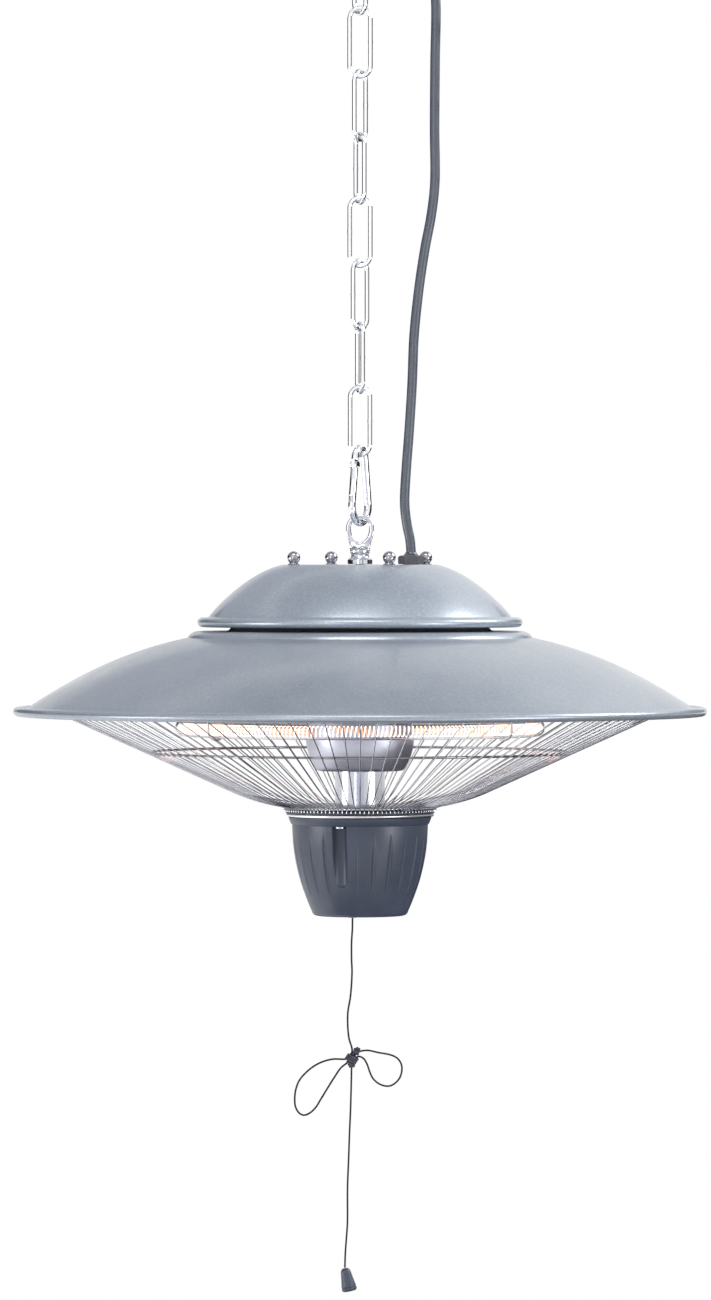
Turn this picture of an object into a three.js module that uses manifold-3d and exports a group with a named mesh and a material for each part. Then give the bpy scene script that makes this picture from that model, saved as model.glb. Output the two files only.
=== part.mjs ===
// A hanging electric patio heater: a ceiling fitting, a chain with a snap hook, a two-tier steel hood over
// a ring-shaped quartz element, a wire guard, and a switch housing with a pull cord.
// Millimetres, +Z up. The origin is the middle of the top face of the ceiling plate; -Y is the front.
import * as THREE from "three";
import { mergeVertices } from "three/addons/utils/BufferGeometryUtils.js";
import Module from "manifold-3d";

const wasm = await Module();
wasm.setup();

// Clearances and how finely round shapes are stepped
const gap = 0.3; // between pieces that touch
const overrun = 4; // how far a cut runs past a face
const mergeWithin = 0.0005;
const hoodSteps = 28;
const roundSteps = 20;
const smallSteps = 10;
const wireSides = 8;
const thinSides = 6;
const full = Math.PI * 2;
const quarter = Math.PI / 2;

// Ceiling fitting
const ceilingPlateRadius = 72;
const ceilingPlateThickness = 4;
const ceilingScrewCircle = 52;
const ceilingScrewHole = 2.6;
const hookBoreDepth = 2.8;
const canopyWall = 1.2;
const canopyDepth = 20;
const canopyCorner = 9;
const hookWire = 6;
const hookInnerRadius = 9;
const hookDrop = 58; // from the ceiling to the inside of the hook's bend
const hookRingFrom = 150; // degrees round the ring, where the neck runs into it
const hookRingTo = 390;
const hookNeckShares = [[0, 0.4], [0.75, 0.6]]; // control points of the bend from the neck into the ring
const hookCollarRadius = 8;
const hookCollarHeight = 3;
const outletX = 54; // where the mains cable leaves the canopy
const outletNutRadius = 10.5;
const outletNutHeight = 14;
const outletNeckRadius = 8;
const outletFlangeHeight = 3.5;

// Chain: welded links, each turned by the same angle about the vertical from the one above
const linkCount = 8;
const linkWire = 4;
const linkInnerWidth = 14;
const linkPitch = 54.5;
const linkYaw = 57; // degrees from one link to the next
const firstLinkYaw = -57;
const linkBendSteps = 6;
const linkPlay = 0.6; // between the wires of two links

// Snap hook: a pear-shaped wire hook, narrow end up, with a sprung gate in its left leg
const snapLength = 71;
const snapWidth = 35.3;
const snapWire = 6.6;
const snapNarrowRadius = 8.3; // at the middle of the wire
const snapYaw = 61;
const snapTongue = 2.4;
const snapTongueDepth = 5.6;
const snapBodyEnd = 3; // along the left leg, from the end of the narrow bend
const snapPinPlace = 7.5;
const snapNose = 4.5;
const snapStub = 1.5; // straight end of the body under the gate
const snapPinRadius = 1.2;

// Eye nut on top of the hood
const eyeWall = 3.5;
const eyeHoleWidth = 15.6;
const eyeHoleHeight = 23.8;
const eyeWidth = 24.2;
const eyeShoulder = 22;
const eyeBase = 12;
const eyeThickness = 6;
const eyeBevel = 1.6;
const eyeNeckRadius = 8.7;
const eyeGrooveRadius = 7.6;
const eyeGrooveHeight = 8;
const eyeNeckTop = 15.5;
const eyeHoleClear = 0.7; // from the neck to the bottom of the hole
const eyeFlangeRadius = 10.8;
const eyeFlangeHeight = 4.8;
const rodRadius = 4;
const rodIntoEye = 9.6;

// Upper hood
const hoodWall = 1;
const hoodFlatRadius = 67.5;
const hoodRadius = 140.5;
const hoodBeadRadius = 4.1;
const hoodEdgeInset = 9.5; // from the rim to where the wall ends
const hoodEdgeDepth = 45.5;
const hoodBeadDrop = 4.4; // from there to the middle of the bead
const hoodCurveShares = [[0.5, 0.2], [0.9, 0.8]]; // control points, as shares of its width and depth
const hoodCurveSteps = 3;
const beadSteps = 4;

// Studs, spacers and ball nuts that join the two hoods
const studInset = 5.2; // from the edge of the flat crown
const studFirstAngle = -66.3; // degrees; the four are a quarter turn apart
const studCount = 4;
const studRadius = 2.5;
const studIntoNut = 4;
const spacerRadius = 3.7;
const ballRadius = 5.6;
const ballNeckRadius = 3.6;
const studPlateMargin = 7.7; // outside the studs' circle
const studPlateThickness = 3;

// Lower hood
const slotHeight = 3.5; // between the upper hood's bead and the lower hood
const shadePlateauRadius = 139;
const shadeStepWidth = 10;
const shadeStepFall = 5.7;
const shadeStepShares = [0.55, 0.4]; // a place on the rounded step
const shadeRadius = 300;
const shadeEdgeInset = 12;
const shadeFall = 66.7; // from the plateau to where the wall ends
const shadeBeadRadius = 3.8;
const shadeBeadDrop = 2.7;
const shadeCurveShares = [[0.42, 0.2], [0.72, 0.58]];
const shadeCurveSteps = 3;

// Reflector
const reflectorWall = 0.8;
const reflectorFlatRadius = 60;
const reflectorInset = 85; // inside the rim of the lower hood
const reflectorFall = 36;

// Polished drum and column in the middle
const drumRadius = 46.7;
const drumWall = 0.9;
const drumHeight = 115.1;
const drumTaperRise = 28.3; // above the bottom, where the foot starts to curve in
const drumWaistInset = 3;
const drumWaistRise = 11.9;
const drumFootInset = 6.9;
const drumFootRise = 3.8;
const drumBottomInset = 11.7;
const columnRadius = 21.6;
const columnWall = 1.5;
const basePlateRadius = 62.3;
const basePlateDrop = 29.7; // below the drum
const basePlateThickness = 3;

// Quartz ring element
const ringInset = 62; // inside the reflector's rim
const ringDrop = 78.9; // below the reflector's top
const quartzRadius = 7.2;
const quartzWall = 1;
const quartzSteps = 30;
const quartzSides = 8;
const quartzHalfGap = 8; // degrees to each side of the back
const coilRadius = 4.4;
const coilWire = 0.45; // radius
const coilCurls = 22;
const coilStepsPerCurl = 8;
const coilSides = 5;
const coilLead = 4; // straight at each end
const capRadius = 9.2;
const capOverTube = 8;
const capBeyondTube = 8;
const capClearance = 0.8; // round the curved tube
const clipWire = 1; // radius
const clipAngles = [-143.2, -36.8];
const bracketThickness = 2.5;

// Guard: one welded basket of radial wires on three rings
const guardWireCount = 36;
const guardWire = 1; // radius
const guardWireSides = 3;
const guardRimWire = 1.5;
const guardRimInset = 12; // inside the edge of the lower hood
const guardMiddleInset = 94; // inside the rim ring
const guardMiddleWire = 1.5;
const guardBendReach = 46; // outside the neck ring
const guardBendRise = 13; // above the neck ring
const guardNeckClear = 1.7; // outside the base plate
const guardNeckDrop = 1.8; // below the top of the base plate
const guardNeckWire = 1.5;
const guardCurveSteps = 2;
const guardBendShare = 0.65; // how far along the straight line the bend's control place lies
const guardWeld = 0.35; // how deep each wire sinks into the middle ring
const collarMargin = 2.5; // outside the base plate
const collarWidth = 5.3;
const collarHeight = 3;
const beadInset = 2.2; // inside the collar's edge
const beadWire = 1.3;

// Switch housing
const potInset = 3; // inside the collar's edge
const potHeight = 85.7;
const potFlangeInset = 2.2;
const potFlangeHeight = 6.6;
const potStepWidth = 0.6;
const potTaper = 17.6; // from the flange to the foot of the curved wall
const potCurveShares = [[0.05, 0.4], [0.5, 0.75]];
const potCurveSteps = 4;
const potFootWidth = 6; // the bevel round the bottom
const potFootHeight = 4.5;
const potWall = 2.5;
const potScrewInset = 6.2; // inside the edge of the base plate
const potScrewAngles = [-107.8, 12.2, 132.2];
const potBossRadius = 8.6;
const pocketOffset = 1.5; // outside the screw
const pocketRadius = 6.2;
const pocketBelowFlange = 0.4;
const pocketAboveBottom = 29.5;
const screwHeadRadius = 4;
const screwHeadHeight = 2.2;
const screwRadius = 1.75;

// Pull switch
const pullX = -6.5; // where the pull cord hangs
const spoolRadius = 8; // at the middle of the cord
const spoolDrop = 26; // below the base plate
const spoolWidth = 9;
const spindleRadius = 2;
const switchLeft = -14;
const switchRight = 17;
const switchHalfDepth = 12;
const switchBelowSpool = 15; // under the spool's middle
const switchSlotClear = 1.8; // above the spool and its cord
const nutRadius = 7;
const nutHeight = 5.6;
const pullCordRadius = 0.7;
const bushNeckRadius = 3;
const bushFlangeRadius = 4.2;
const bushFlangeHeight = 1.6;
const bushInside = 2;

// Pull knob
const knobDrop = 0.5; // below the end of the cord
const knobTilt = 15;
const knobLength = 20.3;
const knobTopRadius = 2.9;
const knobShoulderShare = 0.14;
const knobGrooveShare = 0.84;
const knobGroove = 0.5;
const knobRadius = 6.7;

// Cable gland, terminal block and leads
const cableRadius = 4.2;
const glandX = 44.1;
const glandNutWidth = 22.5;
const glandNutHeight = 7.8;
const glandBodyRadius = 7.5;
const glandInside = 12;
const glandFlangeRadius = 10;
const glandFlangeHeight = 4;
const blockSize = [24, 16, 14];
const blockX = 34;
const leadX = 13;
const leadRadius = 2.4;
const tailRadius = 3.8;

// Heights and radii that follow from the sizes above; depths are below the top of the upper hood
const linkInnerLength = linkPitch + linkPlay;
const lastContact = -hookDrop - linkCount * linkPitch;
const snapInnerLength = snapLength - 2 * snapWire;
const eyeInnerTop = eyeNeckTop + eyeHoleClear + eyeHoleHeight;
const eyeContact = lastContact + linkPlay - snapInnerLength + linkPlay;
const heaterZ = eyeContact - eyeInnerTop; // top of the upper hood
const hoodEdgeRadius = hoodRadius - hoodEdgeInset;
const hoodBeadDepth = hoodEdgeDepth + hoodBeadDrop;
const studCircle = hoodFlatRadius - studInset;
const studPlateRadius = studCircle + studPlateMargin;
const shadeTopDepth = hoodBeadDepth + hoodBeadRadius + slotHeight;
const shadeEdgeRadius = shadeRadius - shadeEdgeInset;
const shadeEdgeDepth = shadeTopDepth + shadeFall;
const shadeBeadDepth = shadeEdgeDepth + shadeBeadDrop;
const studPlateDepth = shadeTopDepth + hoodWall + gap;
const reflectorDepth = studPlateDepth + studPlateThickness + gap;
const reflectorRadius = shadeRadius - reflectorInset;
const ringRadius = reflectorRadius - ringInset;
const ringDepth = reflectorDepth + ringDrop;
const drumTopDepth = reflectorDepth + reflectorWall + gap;
const drumBottomDepth = drumTopDepth + drumHeight;
const columnTopDepth = drumTopDepth + drumWall + gap;
const basePlateDepth = drumBottomDepth + basePlateDrop;
const plateBottomDepth = basePlateDepth + basePlateThickness;
const guardRimRadius = shadeEdgeRadius - guardRimInset;
const guardMiddleRadius = guardRimRadius - guardMiddleInset;
const guardNeckRadius = basePlateRadius + guardNeckClear;
const guardNeckDepth = basePlateDepth + guardNeckDrop;
const guardBendRadius = guardNeckRadius + guardBendReach;
const guardBendDepth = guardNeckDepth - guardBendRise;
const collarRadius = basePlateRadius + collarMargin;
const collarTopDepth = guardNeckDepth + guardNeckWire + gap;
const beadRadius = collarRadius - beadInset;
const beadDepth = collarTopDepth + collarHeight + gap + beadWire;
const potTopRadius = collarRadius - potInset;
const potTopDepth = beadDepth + beadWire + gap;
const potFlangeRadius = potTopRadius - potFlangeInset;
const potFlangeDepth = potTopDepth + potFlangeHeight;
const potBottomDepth = potTopDepth + potHeight;
const potCurveRadius = potFlangeRadius - potTaper;
const potCurveDepth = potBottomDepth - potFootHeight;
const potBottomRadius = potCurveRadius - potFootWidth;
const potScrewCircle = basePlateRadius - potScrewInset;
const pocketTop = potFlangeDepth + pocketBelowFlange;
const pocketBottom = potBottomDepth - pocketAboveBottom;
const spoolX = pullX + spoolRadius;
const spoolDepth = plateBottomDepth + spoolDrop;
const switchBottomDepth = spoolDepth + switchBelowSpool;

// Routes of the cords, as places chosen by hand along each: [x, y, height above the top of the hood]
const mainsRoute = [
  [54, 0, 563], [54, 0, 552], [55.2, 0, 538], [59, 0, 521], [63, 0, 504], [65.3, 0, 488], [64.8, 0, 433],
  [64.4, 0, 377], [64.6, 0, 329], [61.4, 0, 301], [56.2, 0, 273.5], [51, 0, 239], [46.7, 0, 197.5],
  [45, 0, 156], [42.4, 0, 114.5], [39.8, 0, 80], [38.6, 0, 52], [40.6, 0, 34], [43.1, 0, 22],
  [44.1, 0, 11], [44.1, 0, -4],
];
const pullUpperRoute = [
  [-6.5, 0, -305.7], [-6.6, 0, -315], [-7.3, 0, -326.4], [-7.3, 0, -342], [-6.9, 0, -352.3],
  [-8.2, 0, -373.1], [-10.6, 0, -388.6], [-9.7, 0, -409], [-7, 0, -418.6],
];
const bowRoute = [
  [-6.9, 0, -419.2], [-7.4, -1.4, -423.4], [-9.4, -1.7, -426.6], [-12.6, -1.2, -427.8], [-22.8, -0.8, -427.8],
  [-30.6, -0.4, -429.5], [-38.3, 0, -433], [-46, 0, -438.8], [-52.6, 0, -446.5], [-55.6, 0, -454.5],
  [-56.5, 0, -462.7], [-55.7, 0, -469.5], [-52.6, 0, -474.6], [-48.7, 0, -476.4], [-43.7, 0, -474.7],
  [-38.3, 0, -469.7], [-34.4, 0, -463.4], [-28.3, 0.4, -453.4], [-22, 0.7, -443.4], [-16.7, 1, -435.7],
  [-11.2, 1.5, -431.2], [-7.2, 1.9, -427.6], [-4, 1.6, -423.6], [0.2, 1.2, -421.2], [6.8, 0.8, -420.4],
  [15.7, 0.4, -422.2], [27.3, 0, -424.5], [32.8, 0, -427.6], [35.8, 0, -432.6], [36.2, 0, -437.6],
  [34.7, 0, -443.4], [31.2, 0, -448], [26.2, 0, -451], [21.2, 0, -451], [15.7, 0, -448.8],
  [11.2, -0.2, -444.6], [8.4, -0.6, -438.8], [6.1, -1, -432.2], [3, -1.5, -427.2], [-1, -2.6, -425.4],
  [-4.2, -3.2, -427], [-6.4, -2.8, -430], [-7.2, -1.2, -432.8], [-7.3, 0, -435.4],
];
const pullLowerRoute = [
  [-7.3, 0, -435.7], [-7.5, 0, -446], [-7.8, 0, -458], [-8.2, 0, -471.6], [-9.1, 0, -492.4],
  [-9.9, 0, -515.7], [-10.8, 0, -539.1], [-10.9, 0, -570.2], [-11.7, 0, -582], [-12.7, 0, -596.1],
  [-13.1, 0, -608.4],
];

// Materials
const metal = (color, roughness) => new THREE.MeshStandardMaterial({ color, roughness, metalness: 1 });
const plain = (color, roughness) => new THREE.MeshStandardMaterial({ color, roughness, metalness: 0 });
const chrome = metal(0xdfe2e6, 0.12);
const steel = metal(0xb4b8be, 0.35);
const paint = new THREE.MeshStandardMaterial({ color: 0x9aa4b0, roughness: 0.35, metalness: 0.6 });
const polished = metal(0xcfd3d8, 0.15);
const darkPlastic = plain(0x474d5c, 0.55);
const blackPlastic = plain(0x2c2f36, 0.5);
const rubber = plain(0x5f6676, 0.6);
const cordFibre = plain(0x363a44, 0.8);
const ceramic = plain(0xe9e4da, 0.5);
const quartz = plain(0xe8ecf0, 0.1);
const glowing = new THREE.MeshStandardMaterial({ color: 0xff8a3c, emissive: 0xff7a20, roughness: 0.6 });

// From a geometry to a solid for joining and cutting, and back
function solidOf(geometry) {
  const bare = geometry.index ? geometry.toNonIndexed() : geometry.clone();
  for (const name of Object.keys(bare.attributes)) if (name !== "position") bare.deleteAttribute(name);
  const merged = mergeVertices(bare, mergeWithin);
  const vertProperties = merged.attributes.position.array;
  const triVerts = new Uint32Array(merged.index.array);
  return new wasm.Manifold(new wasm.Mesh({ numProp: 3, vertProperties, triVerts }));
}

function geometryOf(solid) {
  const mesh = solid.getMesh();
  const geometry = new THREE.BufferGeometry();
  geometry.setAttribute("position", new THREE.BufferAttribute(mesh.vertProperties, 3));
  geometry.setIndex(new THREE.BufferAttribute(mesh.triVerts, 1));
  geometry.computeVertexNormals();
  return geometry;
}

const join = (...geometries) => geometryOf(geometries.map(solidOf).reduce((a, b) => a.add(b)));
const cut = (geometry, ...tools) =>
  geometryOf(tools.map(solidOf).reduce((a, b) => a.subtract(b), solidOf(geometry)));
const common = (a, b) => geometryOf(solidOf(a).intersect(solidOf(b)));

// A profile of [radius, height] places turned about the Z axis; it runs anticlockwise round the material
function revolve(profile, steps = roundSteps) {
  const points = profile.map(([radius, height]) => new THREE.Vector2(radius, height));
  if (THREE.ShapeUtils.area(points) < 0) points.reverse();
  if (points[0].x > 0 || points.at(-1).x > 0) points.push(points[0].clone());
  return new THREE.LatheGeometry(points, steps).rotateX(quarter);
}

const disc = (outer, inner, bottom, top, steps = roundSteps) =>
  revolve(
    inner > 0
      ? [[inner, bottom], [outer, bottom], [outer, top], [inner, top]]
      : [[0, bottom], [outer, bottom], [outer, top], [0, top]],
    steps,
  );

const rod = (radius, bottom, top, x, y, steps = smallSteps) =>
  disc(radius, 0, bottom, top, steps).translate(x, y, 0);

function box(x, y, z, bottomX, bottomY, bottomZ) {
  return new THREE.BoxGeometry(x, y, z).translate(bottomX + x / 2, bottomY + y / 2, bottomZ + z / 2);
}

// Arc of [radius, height] places round a centre, from one angle to another in degrees
function arc(centreX, centreY, radius, from, to, steps) {
  return Array.from({ length: steps + 1 }, (_, i) => {
    const angle = THREE.MathUtils.degToRad(from + ((to - from) * i) / steps);
    return [centreX + radius * Math.cos(angle), centreY + radius * Math.sin(angle)];
  });
}

// A cubic curve from one [radius, height] place to another, its control places given as shares of the way
function sweep(from, to, shares, steps) {
  const at = ([x, y]) => new THREE.Vector2(from[0] + (to[0] - from[0]) * x, from[1] + (to[1] - from[1]) * y);
  const curve = new THREE.CubicBezierCurve(at([0, 0]), at(shares[0]), at(shares[1]), at([1, 1]));
  return curve.getPoints(steps).map((p) => [p.x, p.y]);
}

// The same outline moved sideways by a distance, to its right as it runs
function beside(outline, distance) {
  return outline.map(([x, y], i) => {
    const [ax, ay] = outline[Math.max(i - 1, 0)];
    const [bx, by] = outline[Math.min(i + 1, outline.length - 1)];
    const length = Math.hypot(bx - ax, by - ay);
    return [x + ((by - ay) / length) * distance, y - ((bx - ax) / length) * distance];
  });
}

function heightAt(outline, radius) {
  const i = outline.findIndex(([x], k) => k > 0 && x >= radius);
  const [ax, ay] = outline[i - 1];
  const [bx, by] = outline[i];
  return ay + ((by - ay) * (radius - ax)) / (bx - ax);
}

function polygon(radius, sides, first = 180 / sides) {
  const corners = arc(0, 0, radius, first, first + 360 - 360 / sides, sides - 1);
  return new THREE.Shape(corners.map(([x, y]) => new THREE.Vector2(x, y)));
}

function tube(path, radius, sides, steps, first) {
  const section = polygon(radius, sides, first);
  return new THREE.ExtrudeGeometry(section, { steps, bevelEnabled: false, extrudePath: path });
}

// A path that is stepped exactly at its own places
class Stations extends THREE.Curve {
  constructor(places) {
    super();
    this.places = places;
  }

  getPoint(t) {
    const along = Math.min(Math.max(t, 0), 1) * (this.places.length - 1);
    const i = Math.min(Math.floor(along), this.places.length - 2);
    return this.places[i].clone().lerp(this.places[i + 1], along - i);
  }

  getUtoTmapping(u) {
    return u;
  }
}

const flatPath = (places) => new Stations(places.map(([x, z]) => new THREE.Vector3(x, 0, z)));
const wireAlong = (path, radius, sides, first) => tube(path, radius, sides, path.places.length - 1, first);
const through = (places) =>
  new THREE.CatmullRomCurve3(places.map((p) => new THREE.Vector3(...p)), false, "centripetal");

const root = new THREE.Group();
const heater = new THREE.Group();
heater.position.z = heaterZ;
root.add(heater);

function add(parent, name, geometry, material) {
  const mesh = new THREE.Mesh(geometry, material);
  mesh.name = name;
  parent.add(mesh);
  return mesh;
}

const atAngle = (geometry, degrees) => geometry.rotateZ(THREE.MathUtils.degToRad(degrees));

// Ceiling plate: the flat disc that is screwed to the ceiling and carries the hook
function ceilingPlate() {
  const plate = disc(ceilingPlateRadius, 0, -ceilingPlateThickness, 0);
  const under = -ceilingPlateThickness;
  const bore = rod(hookWire / 2 + gap, under - overrun, under + hookBoreDepth, 0, 0);
  const holes = [-1, 1].map((side) =>
    rod(ceilingScrewHole, under - overrun, overrun, 0, side * ceilingScrewCircle));
  return cut(plate, bore, ...holes);
}

// Canopy: a pressed cup round the plate, with holes for the hook and the cable outlet
function canopy() {
  const outer = [[ceilingPlateRadius + gap + canopyWall, 0]];
  outer.push(...arc(outer[0][0] - canopyCorner, -canopyDepth + canopyCorner, canopyCorner, 0, -90, 3));
  const inner = beside(outer, canopyWall);
  const hole = hookWire / 2 + gap;
  const cup = revolve(
    [...outer, [hole, -canopyDepth], [hole, -canopyDepth + canopyWall], ...inner.reverse()],
  );
  return cut(cup, rod(outletNeckRadius + gap, -canopyDepth - overrun, -canopyDepth + overrun, outletX, 0));
}

// Hook: a straight shank that is screwed into the plate and bends into an open ring
function ceilingHook() {
  const middle = hookInnerRadius + hookWire / 2;
  const centre = -hookDrop + hookInnerRadius;
  const top = -ceilingPlateThickness + hookBoreDepth - gap;
  const ring = arc(0, centre, middle, hookRingFrom, hookRingTo, 12);
  const neckFoot = [0, centre + 2 * middle];
  const neck = sweep(neckFoot, ring[0], hookNeckShares, 4);
  const path = flatPath([[0, top], ...neck, ...ring.slice(1)]);
  const collarTop = -ceilingPlateThickness - gap;
  return join(
    wireAlong(path, hookWire / 2, thinSides),
    disc(hookCollarRadius, 0, collarTop - hookCollarHeight, collarTop, smallSteps),
  );
}

function canopyOutlet() {
  const bore = cableRadius + gap;
  const nutTop = -canopyDepth - gap;
  const flange = -canopyDepth + canopyWall + gap;
  return revolve([
    [bore, nutTop - outletNutHeight], [outletNutRadius, nutTop - outletNutHeight], [outletNutRadius, nutTop],
    [outletNeckRadius, nutTop], [outletNeckRadius, flange], [outletNutRadius, flange],
    [outletNutRadius, flange + outletFlangeHeight], [bore, flange + outletFlangeHeight],
  ], smallSteps).translate(outletX, 0, 0);
}

add(root, "ceiling_plate", ceilingPlate(), steel);
add(root, "ceiling_canopy", canopy(), paint);
add(root, "ceiling_hook", ceilingHook(), chrome);
add(root, "canopy_outlet", canopyOutlet(), darkPlastic);

// Chain link: a closed loop of wire in the XZ plane, its inside top at height 0
class LinkLoop extends THREE.Curve {
  getPoint(t) {
    const reach = (linkInnerWidth + linkWire) / 2;
    const straight = linkInnerLength - linkInnerWidth;
    const step = (t % 1) * 2 * (linkBendSteps + 1);
    const lower = step >= linkBendSteps + 1;
    const along = lower ? step - linkBendSteps - 1 : step;
    const angle = Math.PI * Math.min(along / linkBendSteps, 1) + (lower ? Math.PI : 0);
    const slide = Math.max(along - linkBendSteps, 0) * straight * (lower ? 1 : -1);
    const centre = -linkInnerWidth / 2 - (lower ? straight : 0);
    return new THREE.Vector3(reach * Math.cos(angle), 0, centre + reach * Math.sin(angle) + slide);
  }

  getUtoTmapping(u) {
    return u;
  }
}

for (let i = 0; i < linkCount; i++) {
  const link = new THREE.TubeGeometry(new LinkLoop(), 2 * (linkBendSteps + 1), linkWire / 2, thinSides, true);
  const mesh = add(root, `chain_link_${i + 1}`, link, chrome);
  mesh.position.z = -hookDrop - i * linkPitch + linkPlay;
  mesh.rotation.z = THREE.MathUtils.degToRad(firstLinkYaw + i * linkYaw);
}

// Snap hook: built in the XZ plane with its inside top at height 0, then turned
const snap = new THREE.Group();
snap.position.z = lastContact + linkPlay;
snap.rotation.z = THREE.MathUtils.degToRad(snapYaw);
root.add(snap);
const snapWideRadius = (snapWidth - snapWire) / 2;
const snapTopCentre = snapWire / 2 - snapNarrowRadius;
const snapBottomCentre = -snapInnerLength - snapWire / 2 + snapWideRadius;
const snapFlare = (snapWideRadius - snapNarrowRadius) / (snapTopCentre - snapBottomCentre);
const snapSlope = THREE.MathUtils.radToDeg(Math.asin(snapFlare));
const legTop = arc(0, snapTopCentre, snapNarrowRadius, 180 - snapSlope, 180, 1)[0];
const legBottom = arc(0, snapBottomCentre, snapWideRadius, 180 - snapSlope, 180, 1)[0];
const legLength = Math.hypot(legTop[0] - legBottom[0], legTop[1] - legBottom[1]);

// Turns a piece made along -Z from height 0 onto the left leg, so that height 0 is the leg's top
const onLeg = (geometry) =>
  geometry.rotateY(THREE.MathUtils.degToRad(snapSlope)).translate(legTop[0], 0, legTop[1]);

const pinRod = (radius, half) =>
  rod(radius, -half, half, 0, 0, wireSides).rotateX(quarter).translate(0, 0, -snapPinPlace);
const pinHole = () => pinRod(snapPinRadius + gap, overrun);

function snapBody() {
  const alongLeg = (place) => legTop.map((top, k) => top + ((legBottom[k] - top) * place) / legLength);
  const path = flatPath([
    alongLeg(snapBodyEnd),
    ...arc(0, snapTopCentre, snapNarrowRadius, 180 - snapSlope, snapSlope, 6),
    ...arc(0, snapBottomCentre, snapWideRadius, snapSlope, -180 - snapSlope, 10),
    alongLeg(legLength - snapStub),
  ]);
  const half = snapTongue / 2;
  const tongue = join(
    box(snapTongueDepth, snapTongue, snapPinPlace, -snapTongueDepth / 2, -half, -snapPinPlace),
    rod(snapTongueDepth / 2, -half, half, 0, 0).rotateX(quarter).translate(0, 0, -snapPinPlace),
  );
  const nose = box(snapTongueDepth, snapTongue, snapNose + snapStub + half,
    -snapTongueDepth / 2, -half, -legLength - half);
  return cut(join(wireAlong(path, snapWire / 2, wireSides), onLeg(tongue), onLeg(nose)), onLeg(pinHole()));
}

function snapGate() {
  const radius = snapWire / 2;
  const foot = -legLength + snapStub + gap;
  const knuckle = rod(radius, -radius, radius, 0, 0).rotateX(quarter).translate(0, 0, -snapPinPlace);
  const bar = rod(radius, foot, -snapPinPlace, 0, 0);
  const slot = snapTongue + 2 * gap;
  const upper = box(snapWire + overrun, slot, snapPinPlace + snapTongueDepth / 2 + overrun,
    -(snapWire + overrun) / 2, -slot / 2, -snapPinPlace - snapTongueDepth / 2 - 2 * gap);
  const lower = box(snapWire + overrun, slot, snapNose + overrun,
    -(snapWire + overrun) / 2, -slot / 2, foot - overrun);
  return onLeg(cut(join(knuckle, bar), upper, lower, pinHole()));
}

function snapPin() {
  const half = snapWire / 2 - gap;
  return onLeg(pinRod(snapPinRadius, half));
}

add(snap, "snap_hook_body", snapBody(), chrome);
add(snap, "snap_hook_gate", snapGate(), chrome);
add(snap, "snap_hook_pin", snapPin(), steel);

// Eye nut: a flat ring with rounded edges on a grooved neck, threaded on the tie rod
function eyeNut() {
  const reach = eyeWidth / 2;
  const crown = eyeInnerTop + eyeWall - reach;
  const hole = eyeHoleWidth / 2;
  const places = (list) => list.map(([x, y]) => new THREE.Vector2(x, y));
  const outline = new THREE.Shape(places([
    [eyeNeckRadius, eyeBase], [reach, eyeShoulder], ...arc(0, crown, reach, 0, 180, 10),
    [-reach, eyeShoulder], [-eyeNeckRadius, eyeBase],
  ]));
  outline.holes.push(new THREE.Path(places([
    ...arc(0, eyeInnerTop - hole, hole, 0, 180, 8),
    ...arc(0, eyeInnerTop - eyeHoleHeight + hole, hole, 180, 360, 8),
  ])));
  const ring = new THREE.ExtrudeGeometry(outline, {
    depth: eyeThickness - 2 * eyeBevel, bevelThickness: eyeBevel, bevelSize: eyeBevel, bevelOffset: -eyeBevel,
    bevelSegments: 1,
  }).rotateX(quarter).translate(0, eyeThickness / 2 - eyeBevel, 0);
  const neck = revolve([
    [0, gap], [eyeFlangeRadius, gap], [eyeFlangeRadius, eyeFlangeHeight],
    [eyeNeckRadius, eyeFlangeHeight + eyeBevel],
    [eyeGrooveRadius, eyeGrooveHeight], [eyeNeckRadius, eyeGrooveHeight + eyeBevel], [eyeNeckRadius, eyeBase],
    [eyeThickness / 2, eyeNeckTop], [0, eyeNeckTop],
  ], smallSteps);
  return cut(join(ring, neck), rod(rodRadius + gap, -overrun, rodIntoEye + gap, 0, 0));
}

add(heater, "eye_nut", eyeNut(), chrome);

const studAngles = Array.from({ length: studCount }, (_, i) => studFirstAngle + (360 / studCount) * i);
const studPlaces = studAngles.map((angle) => arc(0, 0, studCircle, angle, angle + 1, 1)[0]);
const studHoles = (bottom, top) =>
  studPlaces.map(([x, y]) => rod(studRadius + gap, bottom, top, x, y, wireSides));
const leadHole = (bottom, top) => rod(leadRadius + 2 * gap, bottom, top, leadX, 0);

// Upper hood: a flat crown, a domed wall and a rolled edge
function upperHood() {
  const curve = sweep([hoodFlatRadius, 0], [hoodEdgeRadius, -hoodEdgeDepth], hoodCurveShares, hoodCurveSteps);
  const bead = arc(hoodRadius - hoodBeadRadius, -hoodBeadDepth, hoodBeadRadius, 130, -170, beadSteps);
  const hole = rodRadius + gap;
  const outer = [[hole, 0], ...curve];
  const sheet = revolve([...outer, ...bead, ...beside(outer, hoodWall).reverse()], hoodSteps);
  const glandHole = rod(glandBodyRadius + gap, -overrun, overrun, glandX, 0);
  return cut(sheet, ...studHoles(-overrun, overrun), glandHole);
}

// Lower hood: a raised flat top, a step and a wide shallow cone with a rolled edge
const shadeOutline = [
  [rodRadius + gap, -shadeTopDepth],
  [shadePlateauRadius, -shadeTopDepth],
  [
    shadePlateauRadius + shadeStepWidth * shadeStepShares[0],
    -shadeTopDepth - shadeStepFall * shadeStepShares[1],
  ],
  ...sweep(
    [shadePlateauRadius + shadeStepWidth, -shadeTopDepth - shadeStepFall], [shadeEdgeRadius, -shadeEdgeDepth],
    shadeCurveShares, shadeCurveSteps,
  ),
];

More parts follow.
